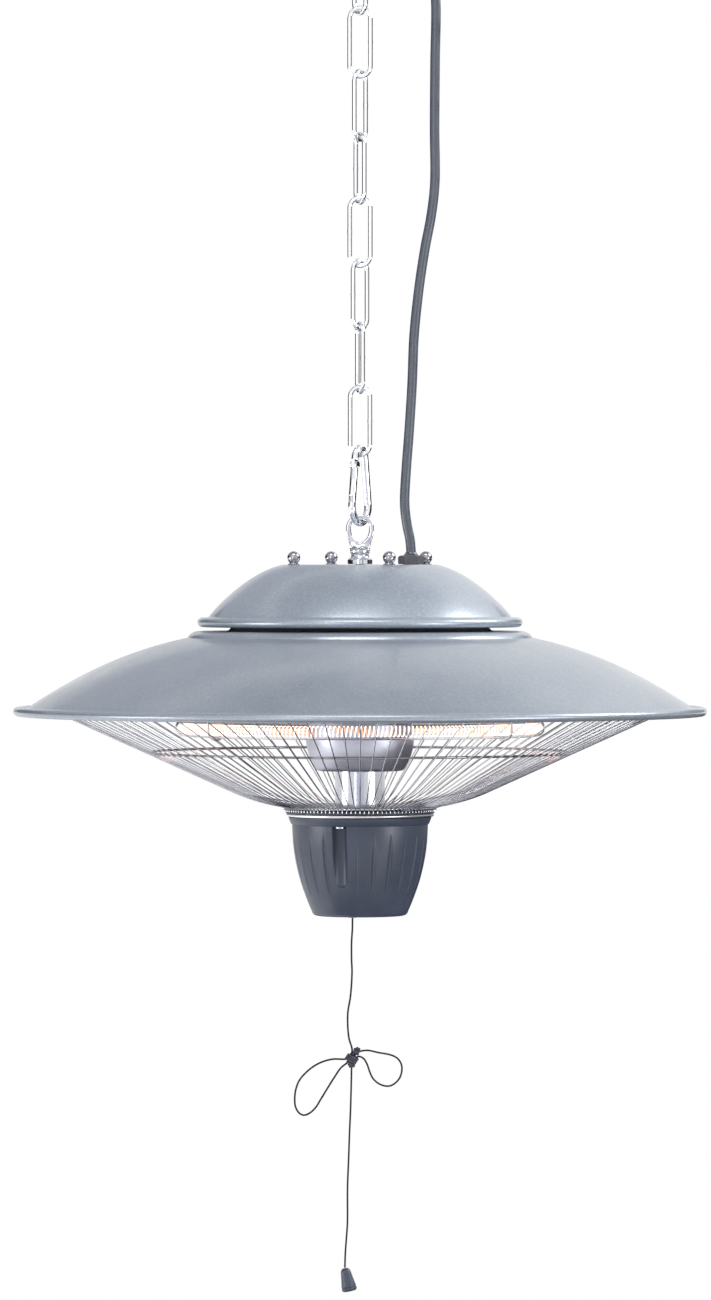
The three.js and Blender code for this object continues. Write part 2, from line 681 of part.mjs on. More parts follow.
function lowerHood() {
  const bead = arc(shadeRadius - shadeBeadRadius, -shadeBeadDepth, shadeBeadRadius, 130, -170, beadSteps);
  const sheet = revolve([...shadeOutline, ...bead, ...beside(shadeOutline, hoodWall).reverse()], hoodSteps);
  const [bottom, top] = [-shadeTopDepth - overrun, -shadeTopDepth + overrun];
  return cut(sheet, ...studHoles(bottom, top), leadHole(bottom, top));
}

add(heater, "upper_hood", upperHood(), paint);
add(heater, "lower_hood", lowerHood(), paint);

// The plate under the lower hood, with its four welded studs that reach up into the ball nuts
function studPlate() {
  const [bottom, top] = [-studPlateDepth - studPlateThickness, -studPlateDepth];
  const studs = studPlaces.map(([x, y]) => rod(studRadius, bottom + gap, studIntoNut, x, y, wireSides));
  const plate = disc(studPlateRadius, rodRadius + gap, bottom, top);
  return cut(join(plate, ...studs), leadHole(bottom - overrun, top + overrun));
}

add(heater, "stud_plate", studPlate(), steel);

studPlaces.forEach(([x, y], i) => {
  const bore = studRadius + gap;
  const spacer = disc(spacerRadius, bore, -shadeTopDepth + gap, -hoodWall - gap, smallSteps);
  const ball = revolve([
    [0, gap], [ballNeckRadius, gap], ...arc(0, ballRadius + gap, ballRadius, -46, 90, 4).slice(0, -1),
    [0, 2 * ballRadius + gap],
  ], smallSteps).translate(x, y, 0);
  const studHole = rod(bore, -overrun, studIntoNut + gap, x, y, wireSides);
  add(heater, `spacer_${i + 1}`, spacer.translate(x, y, 0), steel);
  add(heater, `ball_nut_${i + 1}`, cut(ball, studHole), chrome);
});

// Cable gland: a nut outside and a flanged body inside, clamped through the hood
function glandNut() {
  const nut = new THREE.CylinderGeometry(glandNutWidth / 2, glandNutWidth / 2, glandNutHeight - gap, 6)
    .rotateY(Math.PI / 6).rotateX(quarter).translate(glandX, 0, (glandNutHeight + gap) / 2);
  return cut(nut, rod(cableRadius + gap, -overrun, glandNutHeight + overrun, glandX, 0, roundSteps),
    rod(glandBodyRadius + gap, -overrun, glandNutHeight / 2 + gap, glandX, 0));
}

function glandBody() {
  const bore = cableRadius + gap;
  const flange = -hoodWall - gap;
  return revolve([
    [bore, -glandInside], [glandFlangeRadius, -glandInside], [glandFlangeRadius, flange - glandFlangeHeight],
    [glandFlangeRadius, flange], [glandBodyRadius, flange], [glandBodyRadius, glandNutHeight / 2],
    [bore, glandNutHeight / 2],
  ], smallSteps).translate(glandX, 0, 0);
}

add(heater, "gland_nut", glandNut(), darkPlastic);
add(heater, "gland_body", glandBody(), darkPlastic);

const blockTop = -shadeTopDepth + gap + blockSize[2];
add(heater, "terminal_block",
  box(...blockSize, blockX - blockSize[0] / 2, -blockSize[1] / 2, -shadeTopDepth + gap), ceramic);
const tailTop = mainsRoute.at(-1)[2] - gap;
const tail = through([
  [glandX, 0, tailTop], [glandX, 0, -glandInside - gap],
  [blockX, 0, blockTop + tailRadius], [blockX, 0, blockTop + gap],
]);
add(heater, "supply_tail", tube(tail, tailRadius, wireSides, 8), rubber);
const leadLeft = blockX - blockSize[0] / 2 - gap;
const leadHigh = blockTop - blockSize[2] / 2;
const leadBend = 2 * leadRadius;
const leads = flatPath([
  [leadLeft, leadHigh],
  ...arc(leadX + leadBend, leadHigh - leadBend, leadBend, 90, 180, 3),
  [leadX, -plateBottomDepth],
]);
add(heater, "switch_leads", wireAlong(leads, leadRadius, thinSides), ceramic);

// Reflector: a flat middle and a shallow cone
function reflector() {
  const outer = [
    [rodRadius + gap, -reflectorDepth], [reflectorFlatRadius, -reflectorDepth],
    [reflectorRadius, -reflectorDepth - reflectorFall],
  ];
  const sheet = revolve([...outer, ...beside(outer, reflectorWall).reverse()]);
  return cut(sheet, leadHole(-reflectorDepth - overrun, -reflectorDepth + overrun));
}

const reflectorUnder = beside([
  [reflectorFlatRadius, -reflectorDepth], [reflectorRadius, -reflectorDepth - reflectorFall],
], reflectorWall);

// Drum: a polished cup whose foot curves in to the column
function drum() {
  const outer = [
    [rodRadius + gap, -drumTopDepth], [drumRadius, -drumTopDepth],
    [drumRadius, -drumBottomDepth + drumTaperRise],
    [drumRadius - drumWaistInset, -drumBottomDepth + drumWaistRise],
    [drumRadius - drumFootInset, -drumBottomDepth + drumFootRise],
    [drumRadius - drumBottomInset, -drumBottomDepth], [columnRadius + gap, -drumBottomDepth],
  ];
  const cup = revolve([...outer, ...beside(outer, drumWall).reverse()]);
  return cut(cup, leadHole(-drumTopDepth - overrun, -drumTopDepth + overrun));
}

add(heater, "reflector", reflector(), polished);
add(heater, "centre_drum", drum(), polished);
add(heater, "centre_column",
  disc(columnRadius, columnRadius - columnWall, -basePlateDepth + gap, -columnTopDepth), polished);

const potScrewPlaces = potScrewAngles.map((angle) => arc(0, 0, potScrewCircle, angle, angle + 1, 1)[0]);

function basePlate() {
  const [bottom, top] = [-plateBottomDepth, -basePlateDepth];
  const plate = disc(basePlateRadius, rodRadius + gap, bottom, top);
  const holes = potScrewPlaces.map(([x, y]) =>
    rod(screwRadius + gap, bottom - overrun, top + overrun, x, y, wireSides));
  return cut(plate, leadHole(bottom - overrun, top + overrun), ...holes);
}

function tieRod() {
  const nutTop = -plateBottomDepth - gap;
  const nut = new THREE.CylinderGeometry(nutRadius, nutRadius, nutHeight, 6)
    .rotateX(quarter).translate(0, 0, nutTop - nutHeight / 2);
  return join(rod(rodRadius, nutTop - nutHeight - gap, rodIntoEye, 0, 0), nut);
}

add(heater, "base_plate", basePlate(), steel);
add(heater, "tie_rod", tieRod(), steel);

// Quartz ring: an open tube bent nearly full circle, its ends at the back
const backAngle = 90;
const tubeFrom = backAngle + quartzHalfGap;
const tubeTo = backAngle + 360 - quartzHalfGap;
class RingArc extends THREE.Curve {
  getPoint(t) {
    const angle = THREE.MathUtils.degToRad(tubeFrom + (tubeTo - tubeFrom) * t);
    return new THREE.Vector3(ringRadius * Math.cos(angle), ringRadius * Math.sin(angle), -ringDepth);
  }
}

function quartzTube() {
  const section = polygon(quartzRadius, quartzSides);
  section.holes.push(new THREE.Path(polygon(quartzRadius - quartzWall, quartzSides).getPoints().reverse()));
  const extrudePath = new RingArc();
  return new THREE.ExtrudeGeometry(section, { steps: quartzSteps, bevelEnabled: false, extrudePath });
}

// Heating coil: one wire wound round the ring's centre line, straight for a short way at each end
class CoilPath extends THREE.Curve {
  getPoint(t) {
    const share = coilLead / (ringRadius * THREE.MathUtils.degToRad(tubeTo - tubeFrom));
    const angle = THREE.MathUtils.degToRad(tubeFrom + (tubeTo - tubeFrom) * t);
    const fade = Math.min(1, t / share, (1 - t) / share);
    const wound = full * coilCurls * Math.min(Math.max((t - share) / (1 - 2 * share), 0), 1);
    const out = ringRadius + coilRadius * fade * Math.cos(wound);
    const height = -ringDepth + coilRadius * fade * Math.sin(wound);
    return new THREE.Vector3(out * Math.cos(angle), out * Math.sin(angle), height);
  }

  getUtoTmapping(u) {
    return u;
  }
}

// The wire's rings of points, joined into one closed surface
function windingOf(curve, steps, radius, sides) {
  const positions = [];
  const faces = [];
  for (let i = 0; i <= steps; i++) {
    const here = curve.getPoint(i / steps);
    const ahead = curve.getPoint(Math.min((i + 0.5) / steps, 1));
    const behind = curve.getPoint(Math.max((i - 0.5) / steps, 0));
    const tangent = ahead.sub(behind).normalize();
    const outward = new THREE.Vector3(here.x, here.y, 0).normalize();
    const side = new THREE.Vector3().crossVectors(tangent, outward).normalize();
    const other = new THREE.Vector3().crossVectors(side, tangent);
    for (let k = 0; k < sides; k++) {
      const angle = (full * k) / sides;
      const place = here.clone();
      place.addScaledVector(other, radius * Math.cos(angle)).addScaledVector(side, radius * Math.sin(angle));
      positions.push(place.x, place.y, place.z);
    }
  }
  for (let i = 0; i < steps; i++)
    for (let k = 0; k < sides; k++) {
      const [a, b] = [i * sides + k, i * sides + ((k + 1) % sides)];
      faces.push(a, b, a + sides, b, b + sides, a + sides);
    }
  for (let k = 1; k < sides - 1; k++) {
    faces.push(0, k + 1, k);
    faces.push(steps * sides, steps * sides + k, steps * sides + k + 1);
  }
  const geometry = new THREE.BufferGeometry();
  geometry.setAttribute("position", new THREE.Float32BufferAttribute(positions, 3));
  geometry.setIndex(faces);
  geometry.computeVertexNormals();
  return geometry;
}

// The least distance between stretches of a winding that are more than half a curl apart
function leastGap(curve, steps, apart, radius) {
  const places = Array.from({ length: steps + 1 }, (_, i) => curve.getPoint(i / steps));
  let least = Infinity;
  for (let i = 0; i < places.length; i++)
    for (let k = i + apart; k < places.length; k++) least = Math.min(least, places[i].distanceTo(places[k]));
  return least - 2 * radius;
}

const coilSteps = (coilCurls + 1) * coilStepsPerCurl;
const coilPath = new CoilPath();
const coilGap = leastGap(coilPath, coilSteps, coilStepsPerCurl / 2, coilWire);
console.log(`heating coil: ${coilCurls} curls, least gap to itself ${coilGap.toFixed(2)} mm`);
add(heater, "quartz_tube", quartzTube(), quartz);
add(heater, "heating_coil", windingOf(coilPath, coilSteps, coilWire, coilSides), glowing);

// Ceramic caps over the two ends of the quartz tube
const endAngleOf = (length) => THREE.MathUtils.radToDeg(length / ringRadius);
[["left", tubeFrom, 1], ["right", tubeTo, -1]].forEach(([side, angle, way]) => {
  const cap = rod(capRadius, -capBeyondTube, capOverTube, 0, 0, wireSides * 2);
  const bore = rod(quartzRadius + capClearance, -gap, capOverTube + overrun, 0, 0, wireSides * 2);
  const piece = cut(cap, bore).rotateX(-quarter * way).translate(ringRadius, 0, -ringDepth);
  add(heater, `tube_cap_${side}`, atAngle(piece, angle), ceramic);
});

// Bracket between the caps, hung from the reflector
const capEndAngle = THREE.MathUtils.degToRad(quartzHalfGap - endAngleOf(capBeyondTube));
const bracketWidth = 2 * (ringRadius * Math.tan(capEndAngle) - gap) - bracketThickness;
const bracketTop = heightAt(reflectorUnder, ringRadius + bracketThickness) - gap;
const bracketBottom = -ringDepth - capRadius;
add(heater, "tube_bracket",
  box(bracketWidth, bracketThickness, bracketTop - bracketBottom,
    -bracketWidth / 2, ringRadius - bracketThickness / 2, bracketBottom),
  steel);

// Wire clips: each comes down from the reflector outside the tube and hooks in under it
clipAngles.forEach((angle, i) => {
  const reach = quartzRadius + gap + clipWire;
  const out = ringRadius + reach;
  const top = heightAt(reflectorUnder, out + clipWire) - gap;
  const path = flatPath([[out, top], ...arc(ringRadius, -ringDepth, reach, 0, -140, 7)]);
  add(heater, `tube_clip_${i + 1}`, atAngle(wireAlong(path, clipWire, thinSides), angle), steel);
});

// Guard: radial wires that end in a rim ring and a neck ring and lie welded against a middle ring.
// Each ring has a square section with one flat turned to the wires.
function guardRing(radius, height, wire, facing) {
  const corner = radius / Math.cos(Math.PI / guardWireCount);
  const section = arc(corner, height, wire, facing + 45, facing + 315, 3);
  return solidOf(revolve(section, guardWireCount).rotateZ(Math.PI / guardWireCount));
}

function guard() {
  const shadeUnder = beside(shadeOutline, hoodWall);
  const rimReach = (guardRimRadius + 2 * guardRimWire) / Math.cos(Math.PI / hoodSteps);
  const rimHeight = heightAt(shadeUnder, rimReach) - gap - guardRimWire;
  const slope = (-guardBendDepth - rimHeight) / (guardBendRadius - guardRimRadius);
  const drop = (guardNeckDepth - guardBendDepth) / slope;
  const bend = new THREE.QuadraticBezierCurve(
    new THREE.Vector2(guardBendRadius, -guardBendDepth),
    new THREE.Vector2(
      guardBendRadius - drop * guardBendShare, -guardBendDepth - slope * drop * guardBendShare),
    new THREE.Vector2(guardNeckRadius, -guardNeckDepth),
  ).getPoints(guardCurveSteps);
  const line = flatPath([[guardRimRadius, rimHeight], ...bend.map((p) => [p.x, p.y])]);
  const wire = solidOf(wireAlong(line, guardWire, guardWireSides, -90));
  const turns = Array.from({ length: guardWireCount }, (_, i) => (360 * i) / guardWireCount);
  const wires = turns.map((turn) => wire.rotate([0, 0, turn]));
  const inward = THREE.MathUtils.radToDeg(Math.atan2(-slope, -1));
  const aside = guardWire + guardMiddleWire / Math.SQRT2 - guardWeld;
  const wireHeight = rimHeight + slope * (guardMiddleRadius - guardRimRadius);
  const [[middleRadius, middleHeight]] = arc(guardMiddleRadius, wireHeight, aside, inward + 90, inward, 1);
  const neckFacing = THREE.MathUtils.radToDeg(bend.at(-2).clone().sub(bend.at(-1)).angle());
  return geometryOf(wasm.Manifold.union([
    ...wires,
    guardRing(guardRimRadius, rimHeight, guardRimWire, inward),
    guardRing(middleRadius, middleHeight, guardMiddleWire, inward - 90),
    guardRing(guardNeckRadius, -guardNeckDepth, guardNeckWire, neckFacing),
  ]));
}

add(heater, "guard_cage", guard(), chrome);
const collarHole = collarRadius - collarWidth;
add(heater, "guard_collar",
  disc(collarRadius, collarHole, -collarTopDepth - collarHeight, -collarTopDepth), darkPlastic);
add(heater, "guard_bead",
  new THREE.TorusGeometry(beadRadius, beadWire, thinSides, roundSteps).translate(0, 0, -beadDepth), chrome);

// Switch housing: a tapering cup with three screw pockets in its wall
function switchHousing() {
  const wallTop = [potFlangeRadius - potStepWidth, -potFlangeDepth];
  const curve = sweep(wallTop, [potCurveRadius, -potCurveDepth], potCurveShares, potCurveSteps);
  const body = revolve([
    [0, -potTopDepth], [potTopRadius, -potTopDepth], [potFlangeRadius, -potFlangeDepth], ...curve,
    [potBottomRadius, -potBottomDepth], [0, -potBottomDepth],
  ]);
  const inner = beside([[potTopRadius, -potTopDepth], [potFlangeRadius, -potFlangeDepth], ...curve], potWall)
    .map(([x, y]) => [x, Math.max(y, -potBottomDepth + potWall)]);
  const cavity = revolve([
    [0, -potTopDepth + overrun], [inner[0][0], -potTopDepth + overrun], ...inner.slice(0, -1),
    [potBottomRadius, -potBottomDepth + potWall], [0, -potBottomDepth + potWall],
  ]);
  const bosses = potScrewPlaces.map(([x, y]) =>
    common(rod(potBossRadius, -pocketBottom - 2 * pocketRadius, -potTopDepth, x, y), body));
  const pockets = potScrewAngles.map((angle) => {
    const slot = revolve([
      [0, -pocketTop], [pocketRadius, -pocketTop],
      ...arc(0, -pocketBottom, pocketRadius, 0, -90, 4).slice(0, -1),
      [0, -pocketBottom - pocketRadius],
    ], smallSteps);
    return atAngle(slot.translate(potScrewCircle + pocketOffset, 0, 0), angle);
  });
  const holes = potScrewPlaces.map(([x, y]) =>
    rod(screwRadius + gap, -pocketTop - overrun, -potTopDepth + overrun, x, y, wireSides));
  const floor = -potBottomDepth;
  const bush = rod(bushNeckRadius + gap, floor - overrun, floor + potWall + overrun, pullX, 0);
  return cut(join(cut(body, cavity), ...bosses), ...pockets, ...holes, bush);
}

add(heater, "switch_housing", switchHousing(), darkPlastic);
potScrewPlaces.forEach(([x, y], i) => {
  const head = -pocketTop - gap;
  const screw = revolve([
    [0, head - screwHeadHeight], [screwHeadRadius, head - screwHeadHeight],
    [screwHeadRadius, head], [screwRadius, head],
    [screwRadius, -basePlateDepth - gap], [0, -basePlateDepth - gap],
  ], smallSteps).translate(x, y, 0);
  add(heater, `housing_screw_${i + 1}`, screw, steel);
});

// Pull switch: a block with a slot for the spool, hung under the base plate
function switchBody() {
  const top = -plateBottomDepth - gap;
  const block = box(switchRight - switchLeft, 2 * switchHalfDepth, top + switchBottomDepth,
    switchLeft, -switchHalfDepth, -switchBottomDepth);
  const reach = spoolRadius + pullCordRadius + 2 * gap;
  const width = spoolWidth + 2 * gap;
  const slotTop = spoolDepth - spoolRadius - pullCordRadius - switchSlotClear;
  const slot = box(2 * reach, width, switchBottomDepth - slotTop + overrun,
    spoolX - reach, -width / 2, -switchBottomDepth - overrun);
  const nut = rod(nutRadius + gap, top - nutHeight - 2 * gap, top + overrun, 0, 0, roundSteps);
  const spindle = rod(spindleRadius + gap, -switchHalfDepth - overrun, switchHalfDepth + overrun, 0, 0)
    .rotateX(quarter).translate(spoolX, 0, -spoolDepth);
  return cut(block, slot, nut, spindle);
}

function switchRotor() {
  const half = spoolWidth / 2;
  const spool = rod(spoolRadius - pullCordRadius - gap, -half, half, 0, 0);
  const spindle = rod(spindleRadius, -switchHalfDepth, switchHalfDepth, 0, 0);
  return join(spool, spindle).rotateX(quarter).translate(spoolX, 0, -spoolDepth);
}

add(heater, "switch_body", switchBody(), blackPlastic);
add(heater, "switch_rotor", switchRotor(), ceramic);

function cordBush() {
  const bore = pullCordRadius + gap;
  const under = -potBottomDepth - gap;
  return revolve([
    [bore, under - bushFlangeHeight], [bushFlangeRadius, under - bushFlangeHeight], [bushFlangeRadius, under],
    [bushNeckRadius, under], [bushNeckRadius, -potBottomDepth + potWall + bushInside],
    [bore, -potBottomDepth + potWall + bushInside],
  ], smallSteps).translate(pullX, 0, 0);
}

add(heater, "cord_bush", cordBush(), blackPlastic);
const innerEnd = -potBottomDepth - gap - bushFlangeHeight;
add(heater, "pull_cord_inner", rod(pullCordRadius, innerEnd, -spoolDepth, pullX, 0, wireSides), cordFibre);
add(heater, "pull_cord_upper", tube(through(pullUpperRoute), pullCordRadius, wireSides, 14), cordFibre);
add(heater, "pull_cord_bow", tube(through(bowRoute), pullCordRadius, wireSides, 44), cordFibre);
add(heater, "pull_cord_lower", tube(through(pullLowerRoute), pullCordRadius, wireSides, 10), cordFibre);

function pullKnob() {
  const [endX, , endHeight] = pullLowerRoute.at(-1);
  const at = (share) => -knobLength * share;
  const widthAt = (share) => knobTopRadius + (knobRadius - knobTopRadius) * share;
  return revolve([
    [0, 0], [knobTopRadius, 0], [widthAt(knobShoulderShare) + knobGroove, at(knobShoulderShare)],
    [widthAt(knobGrooveShare), at(knobGrooveShare)],
    [widthAt(knobGrooveShare) - knobGroove, at(knobGrooveShare) - knobGroove],
    [knobRadius, at(knobGrooveShare) - 2 * knobGroove], [knobRadius, at(1) + knobGroove],
    [knobRadius - knobGroove, at(1)], [0, at(1)],
  ], 2 * wireSides).rotateY(-THREE.MathUtils.degToRad(knobTilt)).translate(endX, 0, endHeight - knobDrop);
}

add(heater, "pull_knob", pullKnob(), darkPlastic);

// Mains cable: from the canopy's outlet down to the gland on the hood
add(heater, "mains_cable", tube(through(mainsRoute), cableRadius, wireSides, 26), rubber);

export default root;
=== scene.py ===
# %% [markdown]
# A hanging patio heater, dressed in Blender
# The solids of the heater are already made and packed. This lesson loads them as a fixed frame and
# gives each one its real shape and finish: a smooth pressed hood, drawn wire, polished steel,
# moulded plastic, rubber and a glowing coil behind quartz. Lengths are written in millimetres, and
# MM turns them into Blender's metres.

# %% Load the solids
import math

import bmesh
import bpy
import numpy as np
from mathutils import Matrix, Vector


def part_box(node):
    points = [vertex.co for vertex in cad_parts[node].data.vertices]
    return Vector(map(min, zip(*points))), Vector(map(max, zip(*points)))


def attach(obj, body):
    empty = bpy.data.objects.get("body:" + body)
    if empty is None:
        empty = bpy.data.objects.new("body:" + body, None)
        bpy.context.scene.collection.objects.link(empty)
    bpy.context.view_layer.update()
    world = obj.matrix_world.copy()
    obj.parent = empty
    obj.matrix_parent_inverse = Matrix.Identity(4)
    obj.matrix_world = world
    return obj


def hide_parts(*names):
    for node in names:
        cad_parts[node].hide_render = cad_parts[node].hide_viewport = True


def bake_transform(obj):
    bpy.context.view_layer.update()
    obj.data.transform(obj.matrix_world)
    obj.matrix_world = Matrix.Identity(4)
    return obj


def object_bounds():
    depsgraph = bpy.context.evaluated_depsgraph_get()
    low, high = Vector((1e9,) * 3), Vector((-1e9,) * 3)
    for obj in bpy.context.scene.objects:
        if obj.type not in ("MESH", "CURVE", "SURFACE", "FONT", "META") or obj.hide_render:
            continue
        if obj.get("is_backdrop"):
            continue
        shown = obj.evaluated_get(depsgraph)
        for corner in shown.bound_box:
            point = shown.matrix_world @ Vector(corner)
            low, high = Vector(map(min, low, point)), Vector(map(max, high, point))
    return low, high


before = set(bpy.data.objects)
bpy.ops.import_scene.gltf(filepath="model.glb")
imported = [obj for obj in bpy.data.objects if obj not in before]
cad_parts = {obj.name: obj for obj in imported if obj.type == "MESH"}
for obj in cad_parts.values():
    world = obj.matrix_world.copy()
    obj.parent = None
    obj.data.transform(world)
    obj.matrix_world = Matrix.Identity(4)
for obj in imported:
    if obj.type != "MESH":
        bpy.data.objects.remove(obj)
cad_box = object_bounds()
MM = 0.001
HOOD_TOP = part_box("upper_hood")[1].z / MM
print(f"{len(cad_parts)} solids; the top of the hood is at {HOOD_TOP:.1f} mm")

# %% [markdown]
# The camera
# The photograph was taken with a long lens from about the height of the hood's top, tipped down a
# little, so that the wide rim is seen almost edge on. A lens of about 200 mm on a 36 mm frame, 6.3
# m away, gives the same flat perspective. The picture is taller than it is wide, so Blender
# measures the 36 mm along its height.

# %% Camera
camera_place, camera_aim = Vector((-3.9, -6300, -586.7)) * MM, Vector((-3.9, 0, -664.5)) * MM
camera = bpy.data.objects.new("camera", bpy.data.cameras.new("camera"))
bpy.context.scene.collection.objects.link(camera)
camera.location = camera_place
camera.rotation_euler = (camera_aim - camera_place).to_track_quat("-Z", "Y").to_euler()
camera.data.lens, camera.data.sensor_width, camera.data.clip_end = 201.8, 36, 60
bpy.context.scene.camera = camera
print(f"camera {(camera_aim - camera_place).length:.2f} m from the heater's axis")

# %% [markdown]
# Meshes from lists
# Every piece below is worked out as a list of points and faces in millimetres. One helper turns such lists
# into a Blender object, lets bmesh turn all faces outwards, and shades it smooth with a sharp line wherever
# two faces meet at more than a set angle. Another hangs the piece on an empty named after its body.

# %% Piece helpers
def make_object(name, points, faces, uvs=None, sharp=35):
    mesh = bpy.data.meshes.new(name)
    mesh.from_pydata([Vector(p) * MM for p in points], [], faces)
    if uvs is not None:
        layer = mesh.uv_layers.new(name="around_and_along")
        layer.data.foreach_set("uv", np.asarray(uvs, np.float32).ravel())
    work = bmesh.new()
    work.from_mesh(mesh)
    bmesh.ops.recalc_face_normals(work, faces=work.faces)
    work.to_mesh(mesh)
    work.free()
    mesh.shade_smooth()
    mesh.set_sharp_from_angle(angle=math.radians(sharp))
    made = bpy.data.objects.new(name, mesh)
    bpy.context.scene.collection.objects.link(made)
    return made


def finish_piece(made, material, slot, body, *nodes):
    made.data.materials.clear()
    made.data.materials.append(material)
    if body:
        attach(made, body)
    if nodes:
        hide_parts(*nodes)
    return made


def skin(rows, around=True, closed=False):
    """Faces between neighbouring rows of point numbers; where a number repeats, the face is a triangle."""
    faces = []
    for low, high in zip(rows, [*rows[1:], rows[0]] if closed else rows[1:]):
        for k in range(len(low) if around else len(low) - 1):
            m = (k + 1) % len(low)
            faces.append(tuple(dict.fromkeys((low[k], low[m], high[m], high[k]))))
    return faces


def even_rows(count, size, first=0):
    """The numbers of points that lie in rows of one size."""
    return [range(first + i * size, first + (i + 1) * size) for i in range(count)]


def joined(parts):
    """Several lists of points and faces as one."""
    points, faces = [], []
    for more_points, more_faces in parts:
        shift = len(points)
        points += more_points
        faces += [tuple(shift + c for c in face) for face in more_faces]
    return points, faces


print("pieces are made from points in millimetres")

# %% [markdown]
# Wires and cords
# Chain, guard, clips, coil and cords are all one thing to a modeller: a round section carried along
# a line. The section must not twist on the way, so each ring takes over the last ring's sideways
# direction and only tips it to stay square to the line. UVs run once round and then along in
# metres, which the braid of the pull cord uses.

# %% Tube along a line
def tube(line, radius, sides, closed=False):
    line = np.asarray(line, float)
    count = len(line)
    radii = np.broadcast_to(np.asarray(radius, float), (count,))
    ahead = np.roll(line, -1, 0) - np.roll(line, 1, 0) if closed else np.gradient(line, axis=0)
    ahead = ahead / np.linalg.norm(ahead, axis=1)[:, None]
    side = np.cross(ahead[0], (0.31, 0.93, 0.19))
    points = []
    for place, way, reach in zip(line, ahead, radii):
        side = side - way * side.dot(way)
        side = side / np.linalg.norm(side)
        other = np.cross(way, side)
        turn = np.linspace(0, 2 * math.pi, sides, endpoint=False)
        points += [place + reach * (math.cos(a) * side + math.sin(a) * other) for a in turn]
    along = np.concatenate([[0], np.cumsum(np.linalg.norm(np.diff(line, axis=0), axis=1))]) * MM
    faces, uvs = skin(even_rows(count, sides), closed=closed), []
    for i in range(count if closed else count - 1):
        j = (i + 1) % count
        end = along[j] if j else along[-1] + np.linalg.norm(line[0] - line[-1]) * MM
        for k in range(sides):
            u, v = k / sides, (k + 1) / sides
            uvs += [(u, along[i]), (v, along[i]), (v, end), (u, end)]
    if not closed:
        for ring in (0, count - 1):
            faces.append(tuple(ring * sides + k for k in range(sides)))
            uvs += [(k / sides, along[ring]) for k in range(sides)]
    return points, faces, uvs


def wire_piece(name, line, radius, sides, closed=False):
    return make_object(name, *tube(line, radius, sides, closed), sharp=50)


print("tubes are carried along a line without twisting")

# %% [markdown]
# A smooth line through given points
# The routes of the two cords were read off the photograph as a few points each. A centripetal
# Catmull-Rom curve goes through every one of them without overshooting on the sharp turns of the
# bow, and the solids use the same.

# %% Routes
def through(places, per_span=8):
    places = [np.asarray(p, float) for p in places]
    places = [2 * places[0] - places[1], *places, 2 * places[-1] - places[-2]]
    line = []
    for a, b, c, d in zip(places, places[1:], places[2:], places[3:]):
        first, middle, last = (math.sqrt(np.linalg.norm(q - p)) for p, q in ((a, b), (b, c), (c, d)))
        start = middle * ((b - a) / first - (c - a) / (first + middle) + (c - b) / middle)
        stop = middle * ((c - b) / middle - (d - b) / (middle + last) + (d - c) / last)
        for t in np.linspace(0, 1, per_span, endpoint=False):
            line.append(
                (2 * t**3 - 3 * t**2 + 1) * b + (t**3 - 2 * t**2 + t) * start
                + (3 * t**2 - 2 * t**3) * c + (t**3 - t**2) * stop
            )
    return np.array([*line, places[-2]])


def length_of(line):
    return float(np.linalg.norm(np.diff(line, axis=0), axis=1).sum())


def hung(places):
    """Places given from the hood's top, lifted to where the hood hangs; y is 0 where it is left out."""
    return [(place[0], place[1] if len(place) > 2 else 0, place[-1] + HOOD_TOP) for place in places]


mains_line = through(hung([
    (54, 563), (54, 552), (55.2, 538), (59, 521), (63, 504), (65.3, 488), (64.8, 433), (64.4, 377),
    (64.6, 329), (61.4, 301), (56.2, 273.5), (51, 239), (46.7, 197.5), (45, 156), (42.4, 114.5),
    (39.8, 80), (38.6, 52), (40.6, 34), (43.1, 22), (44.1, 11), (44.1, -4),
]), 12)
print(f"mains cable {length_of(mains_line):.0f} mm from the ceiling fitting to the hood")

# %% [markdown]
# Material helpers
# A finish here is a Principled shader with a few numbers of its own, fed by effects that change
# over the surface. Effects that several finishes share are node groups. The helpers below keep the
# lines short: each adds one kind of node, or a group with named sockets, and returns what it gives
# out.

# %% Node helpers
def set_inputs(tree, made, values):
    for label, value in values.items():
        socket = made.inputs[label.replace("_", " ") if isinstance(label, str) else label]
        if isinstance(value, bpy.types.NodeSocket):
            tree.links.new(value, socket)
        else:
            socket.default_value = value


def new_material(name, color, **numbers):
    material = bpy.data.materials.new(name)
    material.use_nodes = True
    tree = material.node_tree
    shader = tree.nodes["Principled BSDF"]
    set_inputs(tree, shader, {"Base Color": (*color, 1), **numbers})
    return material, tree, shader


def node(tree, kind, sources=None, **settings):
    made = tree.nodes.new("ShaderNode" + kind)
    for label, value in settings.items():
        setattr(made, label, value)
    set_inputs(tree, made, sources or {})
    return made


def calc(tree, operation, *values):
    return node(tree, "Math", dict(enumerate(values)), operation=operation).outputs[0]


def object_place(tree):
    return node(tree, "TexCoord").outputs["Object"]


def noise(tree, place, scale, detail=2.0, distortion=0.0):
    sources = {"Vector": place, "Scale": scale, "Detail": detail, "Distortion": distortion}
    return node(tree, "TexNoise", sources).outputs["Fac"]


def new_group(name, inputs, outputs):
    group = bpy.data.node_groups.new(name, "ShaderNodeTree")
    for label, value in inputs.items():
        socket = group.interface.new_socket(label, in_out="INPUT", socket_type="NodeSocketFloat")
        socket.default_value = value
    for label in outputs:
        group.interface.new_socket(label, in_out="OUTPUT", socket_type="NodeSocketFloat")
    return group, group.nodes.new("NodeGroupInput").outputs, group.nodes.new("NodeGroupOutput")


def use_group(tree, group, **numbers):
    made = node(tree, "Group", node_tree=group)
    set_inputs(tree, made, numbers)
    return made.outputs


